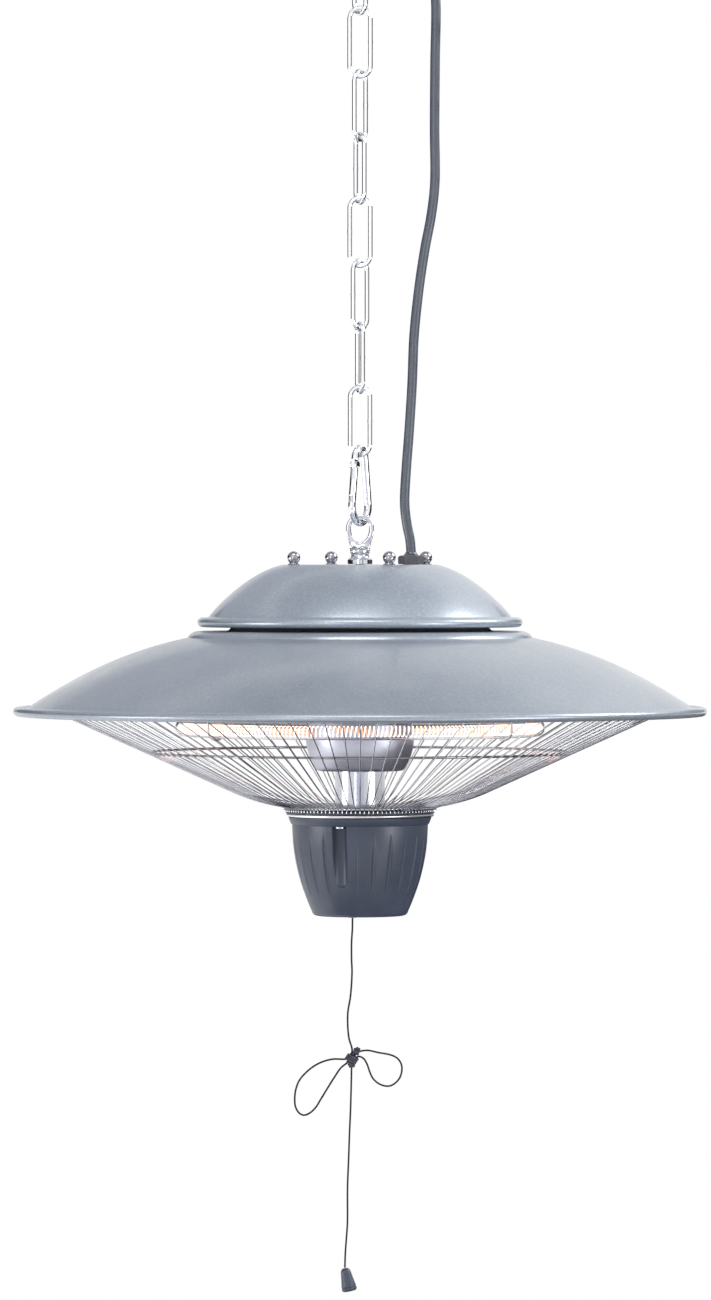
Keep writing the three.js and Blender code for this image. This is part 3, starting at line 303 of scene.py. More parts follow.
def blend_colors(tree, share, first, second):
    mix = node(tree, "Mix", data_type="RGBA")
    colors = {6: first, 7: second}
    ready = {k: (*c, 1) if isinstance(c, tuple) else c for k, c in colors.items()}
    set_inputs(tree, mix, {0: share, **ready})
    return mix.outputs[2]


def map_range(tree, value, low, high, to_low, to_high):
    sources = {"Value": value, "From Min": low, "From Max": high, "To Min": to_low, "To Max": to_high}
    return node(tree, "MapRange", sources).outputs["Result"]


def bump(tree, shader, height, distance, strength=1.0):
    made = node(tree, "Bump", {"Height": height, "Distance": distance * MM, "Strength": strength})
    tree.links.new(made.outputs["Normal"], shader.inputs["Normal"])


print("helpers for materials are ready")

# %% [markdown]
# Surface grain, as a shared group
# Rubber, moulded plastic, ceramic and cord all have a fine grain that is only seen where light
# skims over it. The group gives a height for a Bump node and a slow mottle for colour and
# roughness. Its Scale is in grains per metre, so 1500 means grains of about two thirds of a
# millimetre.

# %% Grain group
grain, inputs, output = new_group(
    "surface_grain", {"Scale": 1500.0, "Mottle Scale": 30.0}, ("Height", "Mottle"),
)
place = object_place(grain)
set_inputs(grain, output, {
    "Height": noise(grain, place, inputs["Scale"], 3.0),
    "Mottle": noise(grain, place, inputs["Mottle Scale"], 4.0),
})
print("grain group:", [item.name for item in grain.interface.items_tree])

# %% [markdown]
# Rubber sheath
# The mains cable has a smooth rubber sheath, dark blue-grey, with a slightly lighter bloom in
# patches. Rubber is not metallic and spreads its highlights widely, so the roughness stays between
# 0.26 and 0.38.

# %% Rubber
rubber, tree, shader = new_material("rubber_sheath", (0.045, 0.056, 0.082), IOR=1.55, Specular_IOR_Level=0.9)
effect = use_group(tree, grain, Scale=1400, Mottle_Scale=55)
bloom = map_range(tree, effect["Mottle"], 0.35, 0.7, 0, 0.8)
set_inputs(tree, shader, {
    "Base Color": blend_colors(tree, bloom, (0.036, 0.046, 0.07), (0.055, 0.068, 0.098)),
    "Roughness": map_range(tree, effect["Mottle"], 0.3, 0.7, 0.26, 0.38),
})
bump(tree, shader, effect["Height"], 0.08)
print("finish made:", rubber.name)

# %% [markdown]
# Mains cable
# The cable hangs beside the chain from the ceiling fitting to the gland on the hood. A mesh can bend across
# one joint at a time, so the cable is made in ten lengths, cut halfway between neighbouring joints. Here the
# lengths hang on no body.

# %% Cable in ten lengths
CABLE_RADIUS = 4.2
cable_cuts = [-87.75, -141.75, -196.25, -250.75, -305.25, -359.75, -414.25, -468.75, -525.25]
heights = mains_line[:, 2]
stops = [heights[0], *cable_cuts, heights[-1]]
for i, (top, foot) in enumerate(zip(stops, stops[1:])):
    line = np.array([[np.interp(-z, -heights, mains_line[:, 0]), 0, z] for z in np.linspace(top, foot, 26)])
    made = wire_piece(f"mains_cable_{i + 1}", line, CABLE_RADIUS, 28)
    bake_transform(made)
    finish_piece(made, rubber, "rubber", None, "mains_cable")
print(f"{len(stops) - 1} lengths of cable")

# %% [markdown]
# Braided cord
# The pull cord is a thin dark braid. Two sets of slanting lines that cross each other give the braid its
# look, and where they cross the thread stands proud. Both come from sine waves over the tube's UVs, so the
# braid follows the cord round every bend of the bow. The strands are painted lighter and the valleys between
# them darker, as painted highlight and shade. The knot has no such UVs, and there a fine grain stands for
# the threads, painted lighter where it stands higher.

# %% Braid finish
STRANDS, WAVES_PER_MM = 4, 1.6
braid, tree, shader = new_material("braided_cord", (0.03, 0.032, 0.045), Roughness=0.8)
around = node(tree, "SeparateXYZ", {"Vector": node(tree, "TexCoord").outputs["UV"]}).outputs
strands = []
for slant in (1, -1):
    turned_u = calc(tree, "MULTIPLY", around["X"], slant * STRANDS * math.tau)
    run = calc(tree, "MULTIPLY", around["Y"], WAVES_PER_MM * math.tau / MM)
    strands.append(calc(tree, "SINE", calc(tree, "ADD", turned_u, run)))
weave = calc(tree, "MAXIMUM", *strands)
# Where the weave stands high the colour is lighter and in its valleys darker: painted highlight and shade.
weave_painted_shade = map_range(tree, weave, -0.2, 1, 0, 1)
black = blend_colors(tree, weave_painted_shade, (0.008, 0.009, 0.013), (0.026, 0.028, 0.038))
set_inputs(tree, shader, {"Base Color": black})
bump(tree, shader, weave, 0.12, 0.7)
knot_braid, tree, shader = new_material("knot_braid", (0.03, 0.032, 0.045), Roughness=0.8)
effect = use_group(tree, grain, Scale=900, Mottle_Scale=400)
# The knot's grain is painted lighter where it stands higher: a painted highlight.
grain_painted_highlight = map_range(tree, effect["Height"], 0.35, 0.65, 0, 1)
threads = blend_colors(tree, grain_painted_highlight, (0.03, 0.032, 0.045), (0.095, 0.1, 0.13))
set_inputs(tree, shader, {"Base Color": threads})
bump(tree, shader, effect["Height"], 0.15, 0.8)
print("finishes made:", braid.name, knot_braid.name)

# %% [markdown]
# Pull cord with its bow
# The cord comes out of a bush under the switch housing, is tied into a bow to shorten it, and ends
# in a knob. It is one cord, so it is one tube along one route, from the bush through both loops of
# the bow to the knob.

# %% Pull cord
CORD_RADIUS = 0.8
pull_upper = [
    (-6.5, -305.7), (-6.6, -315), (-7.3, -326.4), (-7.3, -342), (-6.9, -352.3), (-8.2, -373.1),
    (-10.6, -388.6), (-9.7, -409),
]
pull_bow = [
    (-6.9, 0, -419.2), (-7.4, -1.4, -423.4), (-9.4, -1.7, -426.6), (-12.6, -1.2, -427.8),
    (-22.8, -0.8, -427.8), (-30.6, -0.4, -429.5), (-38.3, -433), (-46, -438.8), (-52.6, -446.5),
    (-55.6, -454.5), (-56.5, -462.7), (-55.7, -469.5), (-52.6, -474.6), (-48.7, -476.4),
    (-43.7, -474.7), (-38.3, -469.7), (-34.4, -463.4), (-28.3, 0.4, -453.4), (-22, 0.7, -443.4),
    (-16.7, 1, -435.7), (-11.2, 1.5, -431.2), (-7.2, 1.9, -427.6), (-4, 1.6, -423.6),
    (0.2, 1.2, -421.2), (6.8, 0.8, -420.4), (15.7, 0.4, -422.2), (27.3, -424.5), (32.8, -427.6),
    (35.8, -432.6), (36.2, -437.6), (34.7, -443.4), (31.2, -448), (26.2, -451), (21.2, -451),
    (15.7, -448.8), (11.2, -0.2, -444.6), (8.4, -0.6, -438.8), (6.1, -1, -432.2), (3, -1.5, -427.2),
    (-1, -2.6, -425.4), (-4.2, -3.2, -427), (-6.4, -2.8, -430), (-7.2, -1.2, -432.8), (-7.3, -435.4),
]
pull_lower = [
    (-7.5, -446), (-7.8, -458), (-8.2, -471.6), (-9.1, -492.4), (-9.9, -515.7), (-10.8, -539.1),
    (-10.9, -570.2), (-11.7, -582), (-12.7, -596.1), (-13.1, -608.4),
]
pull_line = through(hung([*pull_upper, *pull_bow, *pull_lower]), 6)
pull_cord = wire_piece("pull_cord", pull_line, CORD_RADIUS, 14)
finish_piece(pull_cord, braid, "cord", "pull_cord", "pull_cord_upper", "pull_cord_bow", "pull_cord_lower")
print(f"pull cord {length_of(pull_line):.0f} mm from the bush to the knob")

# %% [markdown]
# Knot of the bow
# Where the two loops cross, the cord is wrapped round itself and pulled tight. The wraps are short
# coils of the same cord about slanting axes, one on top of another. Each coil starts and ends
# inside the knot.

# %% Knot
def wraps(middle, axis, radius, turns, pitch):
    """A short coil round a slanting axis, whose two ends are drawn in to the middle."""
    axis = np.asarray(axis, float) / np.linalg.norm(axis)
    side = np.cross(axis, (0, 1, 0))
    side /= np.linalg.norm(side)
    other = np.cross(axis, side)
    line = []
    for share in np.linspace(0, 1, int(turns * 20) + 1):
        a = math.tau * turns * share
        near = radius * (0.35 + 0.65 * min(1, 8 * share, 8 * (1 - share)))
        lift = pitch * turns * (share - 0.5)
        line.append(middle + near * (math.cos(a) * side + math.sin(a) * other) + lift * axis)
    return line


knot_middle = np.array((-7.3, -0.4, HOOD_TOP - 427.8))
knot_coils = [
    ((0, 0, 0), (0.55, 0, 0.83), 4.6, 4.2, 1.9), ((4.2, 0.6, 6.6), (0.9, 0, -0.45), 3.1, 2.6, 1.8),
    ((-0.2, 0, -5.2), (0.1, 0, 1), 2.4, 1.8, 1.7), ((0.6, 0, 0.8), (0.5, 0.3, 0.8), 2.2, 3.2, 2.1),
]
knot_mesh = joined(
    tube(wraps(knot_middle + place, *coil), 1.25 * CORD_RADIUS, 12)[:2] for place, *coil in knot_coils
)
bow_knot = make_object("bow_knot", *knot_mesh, sharp=50)
finish_piece(bow_knot, knot_braid, "cord", "pull_cord")
print("knot of", len(knot_mesh[1]), "faces")

# %% [markdown]
# Turned shapes
# Hoods, drum, housing, knob and nuts are all round about an axis. In a workshop they are spun or
# pressed; here an outline of radius and height is turned about the vertical. A radius of zero makes
# a single point on the axis. Arcs and Bezier curves supply the outlines, and depth counts down from
# the top of the hood.

# %% Turned shapes
def turned(outline, steps, centre=(0, 0), closed=False):
    points, rows = [], []
    for radius, height in outline:
        count = steps if radius > 1e-6 else 1
        rows.append([len(points) + k % count for k in range(steps)])
        for a in (math.tau * k / steps for k in range(count)):
            points.append((centre[0] + radius * math.cos(a), centre[1] + radius * math.sin(a), height))
    return points, skin(rows, closed=closed)


def turned_part(name, outline, steps, *finish, centre=(0, 0), closed=False, sharp=35):
    """A turned piece; finish is its material, a slot name that nothing reads, its body and the solids it
    replaces, or nothing yet.
    """
    made = make_object(name, *turned(outline, steps, centre, closed), sharp=sharp)
    return finish_piece(made, *finish) if finish else made


def arc(x, y, radius, start, stop, steps):
    angles = np.radians(np.linspace(start, stop, steps + 1))
    return [(x + radius * math.cos(a), y + radius * math.sin(a)) for a in angles]


def bezier(first, second, third, fourth, steps):
    line = []
    for t in np.linspace(0, 1, steps + 1):
        parts = ((1 - t) ** 3, 3 * t * (1 - t) ** 2, 3 * t**2 * (1 - t), t**3)
        corners = (first, second, third, fourth)
        line.append(tuple(sum(s * p[k] for s, p in zip(parts, corners)) for k in (0, 1)))
    return line


def swept(start, stop, shares, steps):
    """A curve between two places; its two control places are given as shares of the way."""
    middle = [tuple(a + (b - a) * s for a, b, s in zip(start, stop, share)) for share in shares]
    return bezier(start, *middle, stop, steps)


def beside(outline, distance):
    """The same outline moved to its right as it runs, for the other face of a sheet."""
    places = np.asarray(outline, float)
    way = np.gradient(places, axis=0)
    way /= np.linalg.norm(way, axis=1)[:, None]
    return [(x + w[1] * distance, y - w[0] * distance) for (x, y), w in zip(places, way)]


def sheet(outline, wall):
    """A closed outline round both faces of a sheet."""
    return [*outline, *beside(outline, wall)[::-1]]


def deep(outline):
    """Radius and depth below the hood's top, changed to radius and height."""
    return [(radius, HOOD_TOP - depth) for radius, depth in outline]


def raised(outline):
    """Radius and height above the hood's top, changed to radius and height."""
    return [(radius, HOOD_TOP + height) for radius, height in outline]


print("outlines are turned about the vertical")

# %% [markdown]
# Painted flake glints, marks and dust, as shared groups
# Silver paint is clear lacquer over tiny aluminium flakes, which lie at slightly different slopes and so
# glint one by one. Cells of a Voronoi texture stand for flakes, and each cell's brightness is painted into
# the colour as a glint: a painted highlight. Marks from handling change the roughness in soft patches and
# thin scratches. Dust settles only on faces that look up.

# %% Flake, mark and dust groups
flakes, inputs, output = new_group("flake_bump_and_painted_glint", {"Scale": 1100.0}, ("Glint", "Height"))
place = object_place(flakes)
cells = node(flakes, "TexVoronoi", {"Vector": place, "Scale": inputs["Scale"]}).outputs["Color"]
tone = node(flakes, "SeparateColor", {"Color": cells}).outputs[0]
set_inputs(flakes, output, {
    "Glint": calc(flakes, "POWER", tone, 2.2), "Height": noise(flakes, place, 260.0, 1.0),
})

marks, inputs, output = new_group(
    "handling_marks", {"Patch Scale": 14.0, "Scratch Scale": 60.0}, ("Patches", "Scratches"),
)
place = object_place(marks)
thin = noise(marks, place, inputs["Scratch Scale"], 2.0, 3.0)
near = calc(marks, "ABSOLUTE", calc(marks, "SUBTRACT", thin, 0.5))
set_inputs(marks, output, {
    "Patches": noise(marks, place, inputs["Patch Scale"], 5.0),
    "Scratches": map_range(marks, near, 0.0, 0.006, 1, 0),
})

dust, inputs, output = new_group("settled_dust", {"Amount": 0.3}, ("Dust",))
facing = node(dust, "SeparateXYZ", {"Vector": node(dust, "NewGeometry").outputs["Normal"]}).outputs["Z"]
patchy = map_range(dust, noise(dust, object_place(dust), 22.0, 6.0), 0.4, 0.75, 0, 1)
lying = calc(dust, "MULTIPLY", map_range(dust, facing, 0.75, 1.0, 0, 1), patchy)
set_inputs(dust, output, {"Dust": calc(dust, "MULTIPLY", lying, inputs["Amount"])})
print("groups made: flakes, marks, dust")

# %% [markdown]
# Silver paint
# The two hoods are sprayed a silver-grey with a touch of blue. The painted glints of the flakes vary the
# colour from grain to grain, the lacquer is a thin coat, and its orange-peel is a bump of a few hundredths
# of a millimetre.

# %% Paint
def silver_paint(name, dark, light):
    material, tree, shader = new_material(
        name, light, Metallic=0.55, Roughness=0.3, Coat_Weight=0.35, Coat_Roughness=0.12,
    )
    flake_glint_and_bump = use_group(tree, flakes, Scale=1000)
    mark = use_group(tree, marks, Patch_Scale=9, Scratch_Scale=26)
    lying = use_group(tree, dust, Amount=0.25)["Dust"]
    # The flake glints are painted into the colour between dark and light: a painted highlight.
    base = blend_colors(tree, flake_glint_and_bump["Glint"], dark, light)
    base = blend_colors(tree, calc(tree, "MULTIPLY", mark["Scratches"], 0.12), base, (0.62, 0.66, 0.7))
    rough = map_range(tree, mark["Patches"], 0.3, 0.7, 0.26, 0.4)
    set_inputs(tree, shader, {
        "Base Color": blend_colors(tree, lying, base, (0.56, 0.56, 0.55)),
        "Roughness": calc(tree, "ADD", rough, lying),
    })
    bump(tree, shader, flake_glint_and_bump["Height"], 0.05, 0.35)
    return material


hood_paint = silver_paint("hood_paint", (0.34, 0.385, 0.445), (0.44, 0.49, 0.56))
# The lower hood takes a darker copy of the same paint: painted shade.
lower_hood_shaded_paint = silver_paint("lower_hood_shaded_paint", (0.315, 0.355, 0.41), (0.405, 0.45, 0.515))
canopy_paint = silver_paint("canopy_paint", (0.32, 0.36, 0.42), (0.4, 0.45, 0.52))
print("finishes made:", hood_paint.name, lower_hood_shaded_paint.name, canopy_paint.name)

# %% [markdown]
# Upper hood
# The upper hood is one pressed sheet: a flat crown, a domed wall and an edge that is rolled over
# into a bead. The outline runs over the top from the middle to the bead and back underneath, one
# sheet's thickness lower.

# %% Upper hood
WALL = 1.0
EDGE_ROLL = (132, -172, 22)
crown_edge, dome_edge = (70.2, 0.95), (131, 45.5)
crown_round = bezier((64.5, 0), (66.6, 0), (68.3, 0.35), crown_edge, 5)
dome = swept(crown_edge, dome_edge, ((0.45, 0.17), (0.9, 0.8)), 26)
hood_top = deep([(0, 0), *crown_round, *dome[1:]])
hood_bead = arc(136.4, HOOD_TOP - 49.9, 4.1, *EDGE_ROLL)
upper_outline = [*hood_top, *hood_bead, *beside(hood_top[1:], WALL)[::-1], (0, HOOD_TOP - WALL)]
turned_part(
    "upper_hood_pressed", upper_outline, 224, hood_paint, "hood_paint", "heater", "upper_hood", sharp=45,
)
print(f"upper hood {2 * max(r for r, _ in upper_outline):.0f} mm across")

# %% [markdown]
# Lower hood
# The lower hood is 600 mm across. Its middle is a flat plateau with a small rounded step round it,
# and from there a shallow cone sweeps out to a rolled rim. The slot between the two hoods lets the
# heat out. A rib pressed into the plateau, under the upper hood, stiffens it and keeps rain and
# sight out of the slot.

# %% Lower hood
PLATEAU = 57.5
step_edge, cone_edge = (149, 63.2), (288, 124.2)
step_round = bezier((139, PLATEAU), (144.2, PLATEAU), (147.6, 60), step_edge, 8)
cone = swept(step_edge, cone_edge, ((0.42, 0.2), (0.72, 0.58)), 40)
shade_top = deep([(132, PLATEAU), *step_round, *cone[1:]])
shade_under = beside(shade_top, WALL)
rim = arc(295.85, HOOD_TOP - 126.9, 3.8, *EDGE_ROLL)
rib = [
    (96, PLATEAU), (98.5, 56.6), (100.5, 54.4), (103, 53.2), (109, 53.2), (111.5, 54.4), (113.5, 56.6),
    (116, PLATEAU),
]
lower_outline = [
    (0, HOOD_TOP - PLATEAU), *deep(rib), *shade_top, *rim, *shade_under[::-1],
    *deep([(radius, depth + WALL) for radius, depth in rib[::-1]]), (0, HOOD_TOP - PLATEAU - WALL),
]
turned_part(
    "lower_hood_pressed", lower_outline, 288, lower_hood_shaded_paint, "hood_paint", "heater", "lower_hood", sharp=45,
)
print(f"lower hood {2 * max(r for r, _ in lower_outline):.0f} mm across")

# %% [markdown]
# Chrome and polished steel
# Chain, snap hook, eye nut, ball nuts and guard are chromed or polished wire. Chrome takes its whole look
# from what it mirrors, so its colour is a very light grey and the work goes into the roughness: nearly a
# mirror, with soft patches where it has been handled. The eye nut, ball nuts and guard take darker copies of
# the chain's chrome, as painted shade, and the bead a duller one.

# %% Chrome
def bright_metal(name, color, low, high, haze=0.0):
    material, tree, shader = new_material(name, color, Metallic=1.0, Roughness=low)
    mark = use_group(tree, marks, Patch_Scale=70, Scratch_Scale=190)
    share = map_range(tree, mark["Patches"], 0.35, 0.75, 0, 1)
    rough = map_range(tree, mark["Patches"], 0.3, 0.7, low, high)
    set_inputs(tree, shader, {
        "Base Color": blend_colors(tree, share, color, tuple(c * 0.86 for c in color)),
        "Roughness": calc(tree, "ADD", rough, calc(tree, "MULTIPLY", mark["Scratches"], 0.1 + haze)),
    })
    return material


chrome = bright_metal("chrome", (0.93, 0.94, 0.96), 0.03, 0.09)
# Guard, ball nuts and eye nut get darker copies of the chain's chrome: painted shade.
shaded_guard_chrome = bright_metal("shaded_guard_chrome", (0.72, 0.73, 0.79), 0.03, 0.08)
shaded_ball_chrome = bright_metal("shaded_ball_chrome", (0.42, 0.41, 0.44), 0.05, 0.12)
satin_chrome = bright_metal("satin_chrome", (0.95, 0.95, 0.97), 0.3, 0.4)
shaded_eye_chrome = bright_metal("shaded_eye_chrome", (0.7, 0.71, 0.75), 0.03, 0.08)
steel = bright_metal("zinc_plated_steel", (0.6, 0.62, 0.66), 0.28, 0.42, 0.05)
print("finishes made: five of chrome and", steel.name)

# %% [markdown]
# Rolled steel
# Drum, column and reflector are rolled sheet. Rolling leaves fine streaks along the metal, which
# upright parts show as upright lines, so the noise that stands for them is stretched along the
# height.

# %% Rolled steel
def rolled_metal(name, color, low, high, upright):
    material, tree, shader = new_material(name, color, Metallic=1.0, Roughness=low)
    drawn = node(tree, "Mapping", {"Vector": object_place(tree), "Scale": (1, 1, 0.02 if upright else 1)})
    streak = noise(tree, drawn.outputs[0], 420.0, 4.0)
    mark = use_group(tree, marks, Patch_Scale=18, Scratch_Scale=45)
    both = calc(tree, "MULTIPLY", streak, mark["Patches"])
    set_inputs(tree, shader, {
        "Base Color": blend_colors(tree, streak, tuple(c * 0.82 for c in color), color),
        "Roughness": map_range(tree, both, 0.12, 0.4, low, high),
    })
    bump(tree, shader, streak, 0.02, 0.25)
    return material


polished = rolled_metal("polished_steel", (0.74, 0.76, 0.81), 0.07, 0.2, True)
drum_steel = rolled_metal("drawn_drum_steel", (0.6, 0.61, 0.7), 0.36, 0.5, True)
mirror = rolled_metal("reflector_steel", (0.84, 0.85, 0.87), 0.12, 0.28, False)
print("finishes made:", polished.name, drum_steel.name, mirror.name)

# %% [markdown]
# Chain
# Each link is a piece of 4 mm wire bent into a long loop and welded shut. The weld shows as a
# slight swelling in the middle of one leg. The links hang in each other, each turned by 57 degrees
# from the one above.

# %% Chain links
LINK_PITCH, LINK_INSIDE, LINK_TOP, LINK_YAW = 54.5, 55.1, -57.4, 57
LINK_REACH, LINK_RADIUS = 9.0, 2.0
for i in range(8):
    inside_top = LINK_TOP - LINK_PITCH * i
    upper_z = inside_top - (LINK_REACH - LINK_RADIUS)
    lower_z = inside_top - LINK_INSIDE + (LINK_REACH - LINK_RADIUS)
    loop = [
        *arc(0, upper_z, LINK_REACH, 0, 180, 20),
        *[(-LINK_REACH, z) for z in np.linspace(upper_z, lower_z, 26)[1:-1]],
        *arc(0, lower_z, LINK_REACH, 180, 360, 20),
        *[(LINK_REACH, z) for z in np.linspace(lower_z, upper_z, 26)[1:-1]],
    ]
    weld_z = (upper_z + lower_z) / 2
    swell = np.array([0.22 * math.exp(-((z - weld_z) / 1.6) ** 2) if x > 0 else 0 for x, z in loop])
    yaw = math.radians(LINK_YAW * (i - 1))
    line = [(x * math.cos(yaw), x * math.sin(yaw), z) for x, z in loop]
    link = wire_piece(f"link_{i + 1}", line, LINK_RADIUS + swell, 20, closed=True)
    finish_piece(link, chrome, "chrome", f"chain_{i + 1}", f"chain_link_{i + 1}")
print("8 links, each", round(LINK_INSIDE + 4 * LINK_RADIUS, 1), "mm long")

# %% [markdown]
# Snap hook
# The snap hook is a pear-shaped loop of 6.6 mm wire whose left leg is a gate. The body wire ends at
# the top of that leg in a tongue, which the gate's fork straddles on a pin, and at the bottom in a
# flat nose, which the gate's slot drops over. Tongue, nose and slots are cut with Boolean
# modifiers, and a small bevel takes the sharp edges off.

# %% Cutting and softening helpers
def applied(made):
    """Turns an object's modifiers into plain mesh."""
    bpy.context.view_layer.update()
    seen = made.evaluated_get(bpy.context.evaluated_depsgraph_get())
    mesh = bpy.data.meshes.new_from_object(seen)
    made.modifiers.clear()
    made.data = mesh


def combined(made, tool, operation):
    cutter = made.modifiers.new(operation.lower(), "BOOLEAN")
    cutter.operation, cutter.solver, cutter.object = operation, "EXACT", tool
    applied(made)
    bpy.data.objects.remove(tool)


def softened(made, width, segments=2, angle=40):
    edge = made.modifiers.new("soft edges", "BEVEL")
    edge.width, edge.segments, edge.harden_normals = width * MM, segments, False
    edge.limit_method, edge.angle_limit = "ANGLE", math.radians(angle)
    applied(made)
    made.data.shade_smooth()
    made.data.set_sharp_from_angle(angle=math.radians(angle))


def block(name, size, middle):
    x, y, z = (s / 2 for s in size)
    corners = [
        (middle[0] + a * x, middle[1] + b * y, middle[2] + c * z)
        for a in (-1, 1) for b in (-1, 1) for c in (-1, 1)
    ]
    faces = [(0, 1, 3, 2), (4, 6, 7, 5), (0, 4, 5, 1), (2, 3, 7, 6), (0, 2, 6, 4), (1, 5, 7, 3)]
    return make_object(name, corners, faces)


def rod(name, radius, start, stop, sides=32):
    return wire_piece(name, [start, stop], radius, sides)


print("helpers for cutting are ready")

# %% Snap hook body
SNAP_RADIUS, SNAP_YAW, SNAP_HEIGHT, PIN_DROP = 3.3, 61, -493.4, 7.5
snap_top, snap_bottom = (0, -5.0, 8.3), (0, -46.75, 14.35)
slope = math.asin((snap_bottom[2] - snap_top[2]) / (snap_top[1] - snap_bottom[1]))
slope_deg = math.degrees(slope)
leg_top, leg_foot = (np.array(arc(*bend, 180 - slope_deg, 180, 1)[0]) for bend in (snap_top, snap_bottom))
leg_length = float(np.linalg.norm(leg_foot - leg_top))
leg_way = (leg_foot - leg_top) / leg_length
snap_line = [
    leg_top + leg_way * 3, *arc(*snap_top, 180 - slope_deg, slope_deg, 24),
    *arc(*snap_bottom, slope_deg, -180 - slope_deg, 40), leg_foot - leg_way * 1.5,
]
snap_place = Matrix.Translation((0, 0, SNAP_HEIGHT * MM)) @ Matrix.Rotation(math.radians(SNAP_YAW), 4, "Z")
leg_place = Matrix.Translation((leg_top[0] * MM, 0, leg_top[1] * MM)) @ Matrix.Rotation(slope, 4, "Y")


def on_leg(made):
    """Moves a piece made along -Z from height 0 onto the hook's left leg."""
    made.data.transform(leg_place)
    return made


snap_body = wire_piece("snap_body", [(x, 0, z) for x, z in snap_line], SNAP_RADIUS, 28)
tongue = on_leg(block("tongue", (5.6, 2.4, 9.5), (0, 0, -4)))
combined(tongue, on_leg(rod("tongue_end", 2.8, (0, -1.2, -8.75), (0, 1.2, -8.75))), "UNION")
nose = on_leg(block("nose", (5.6, 2.4, 7.2), (0, 0, -leg_length + 2.4)))
for end in (tongue, nose):
    combined(snap_body, end, "UNION")
softened(snap_body, 0.3)
snap_body.data.transform(snap_place)
finish_piece(snap_body, chrome, "chrome", "snap_hook", "snap_hook_body")
print(f"snap hook leg {leg_length:.1f} mm, sloping {slope_deg:.1f} degrees")

# %% Snap hook gate and pin
gate_foot = -leg_length + 1.8
gate = on_leg(rod("snap_gate", SNAP_RADIUS, (0, 0, -PIN_DROP), (0, 0, gate_foot)))
knuckle = rod("knuckle", SNAP_RADIUS, (0, -SNAP_RADIUS, -PIN_DROP), (0, SNAP_RADIUS, -PIN_DROP))
combined(gate, on_leg(knuckle), "UNION")
for name, middle in (("fork", -4.9), ("slot", gate_foot - 1.5)):
    combined(gate, on_leg(block(name, (12, 3.0, 12), (0, 0, middle))), "DIFFERENCE")
softened(gate, 0.25)
gate.data.transform(snap_place)
finish_piece(gate, chrome, "chrome", "snap_gate", "snap_hook_gate")
pin_side = [(0, 3.15), (0.9, 3.15), (1.25, 2.85), (1.2, 2.6)]
snap_pin = turned_part("snap_pin", [*pin_side, *((r, -h) for r, h in reversed(pin_side))], 24)
snap_pin.data.transform(Matrix.Translation((0, 0, -PIN_DROP * MM)) @ Matrix.Rotation(math.pi / 2, 4, "X"))
on_leg(snap_pin).data.transform(snap_place)
finish_piece(snap_pin, steel, "steel", "snap_hook", "snap_hook_pin")
print("gate", round(leg_length - 9.3, 1), "mm long on a riveted pin")

# %% [markdown]
# Eye nut
# The eye nut is a chromed casting: a grooved round foot, a neck that widens to two shoulders, and a
# flat ring that rises from them. The ring is a flat plate with a hole whose foot runs to a rounded
# V. It is thinned towards the top and the neck, then bevelled until its rim is nearly round. The
# foot is turned.

# %% Eye nut
def upright_plate(name, outline, half):
    """A flat plate standing in the XZ plane, from an outline of x and height above the hood."""
    count = len(outline)
    points = [(x, side * half, HOOD_TOP + height) for side in (-1, 1) for x, height in outline]
    faces = [tuple(range(count)), tuple(range(2 * count - 1, count - 1, -1))]
    faces += [(k, count + k, count + (k + 1) % count, (k + 1) % count) for k in range(count)]
    return make_object(name, points, faces)


eye_side = [(8.5, 11), (8.7, 15), (9.6, 19), (10.9, 23), (11.9, 26.6), (12.1, 29)]
eye_outer = [*eye_side, *arc(0, 31.4, 12.1, 0, 180, 40), *((-x, h) for x, h in reversed(eye_side))]
hole_foot = [(-7.8, 29), (-7.1, 25.8), (-5.4, 22.6), (-3, 20.2), (-1.2, 19.2), (0, 19)]
eye_hole = [*arc(0, 32.2, 7.8, 0, 180, 26), *hole_foot, *((-x, h) for x, h in reversed(hole_foot[:-1]))]
thinning_heights, thinning_shares = (11, 27, 36), (0.62, 1, 0.72)
ear = upright_plate("eye_ear", eye_outer, 3)
combined(ear, upright_plate("eye_hole", eye_hole, 9), "DIFFERENCE")
for vertex in ear.data.vertices:
    height = vertex.co.z / MM - HOOD_TOP
    vertex.co.y *= float(np.interp(height, thinning_heights, thinning_shares))
softened(ear, 1.45, 5)
foot = raised([
    (0, 0.3), (10.4, 0.3), (10.8, 0.7), (10.8, 4.2), (10.2, 4.9), *arc(10.4, 8, 2.8, 130, 230, 8)[::-1],
    (8.7, 10.6), (8.7, 12.4), (7.2, 14.2), (3, 15.9), (0, 15.9),
])
eye_nut = turned_part("eye_nut_cast", foot, 64)
combined(eye_nut, ear, "UNION")
# The eye nut takes a darker copy of chrome: painted shade.
finish_piece(eye_nut, shaded_eye_chrome, "chrome", "heater", "eye_nut")
print("eye hole 15.6 by 21 mm")

# %% [markdown]
# Ball nuts and spacers
# Four studs join the hoods. On the crown each ends in a chromed ball nut, 11 mm across, on a short
# neck with a thin washer; in the slot each passes through a plain steel spacer that keeps the two
# hoods apart.

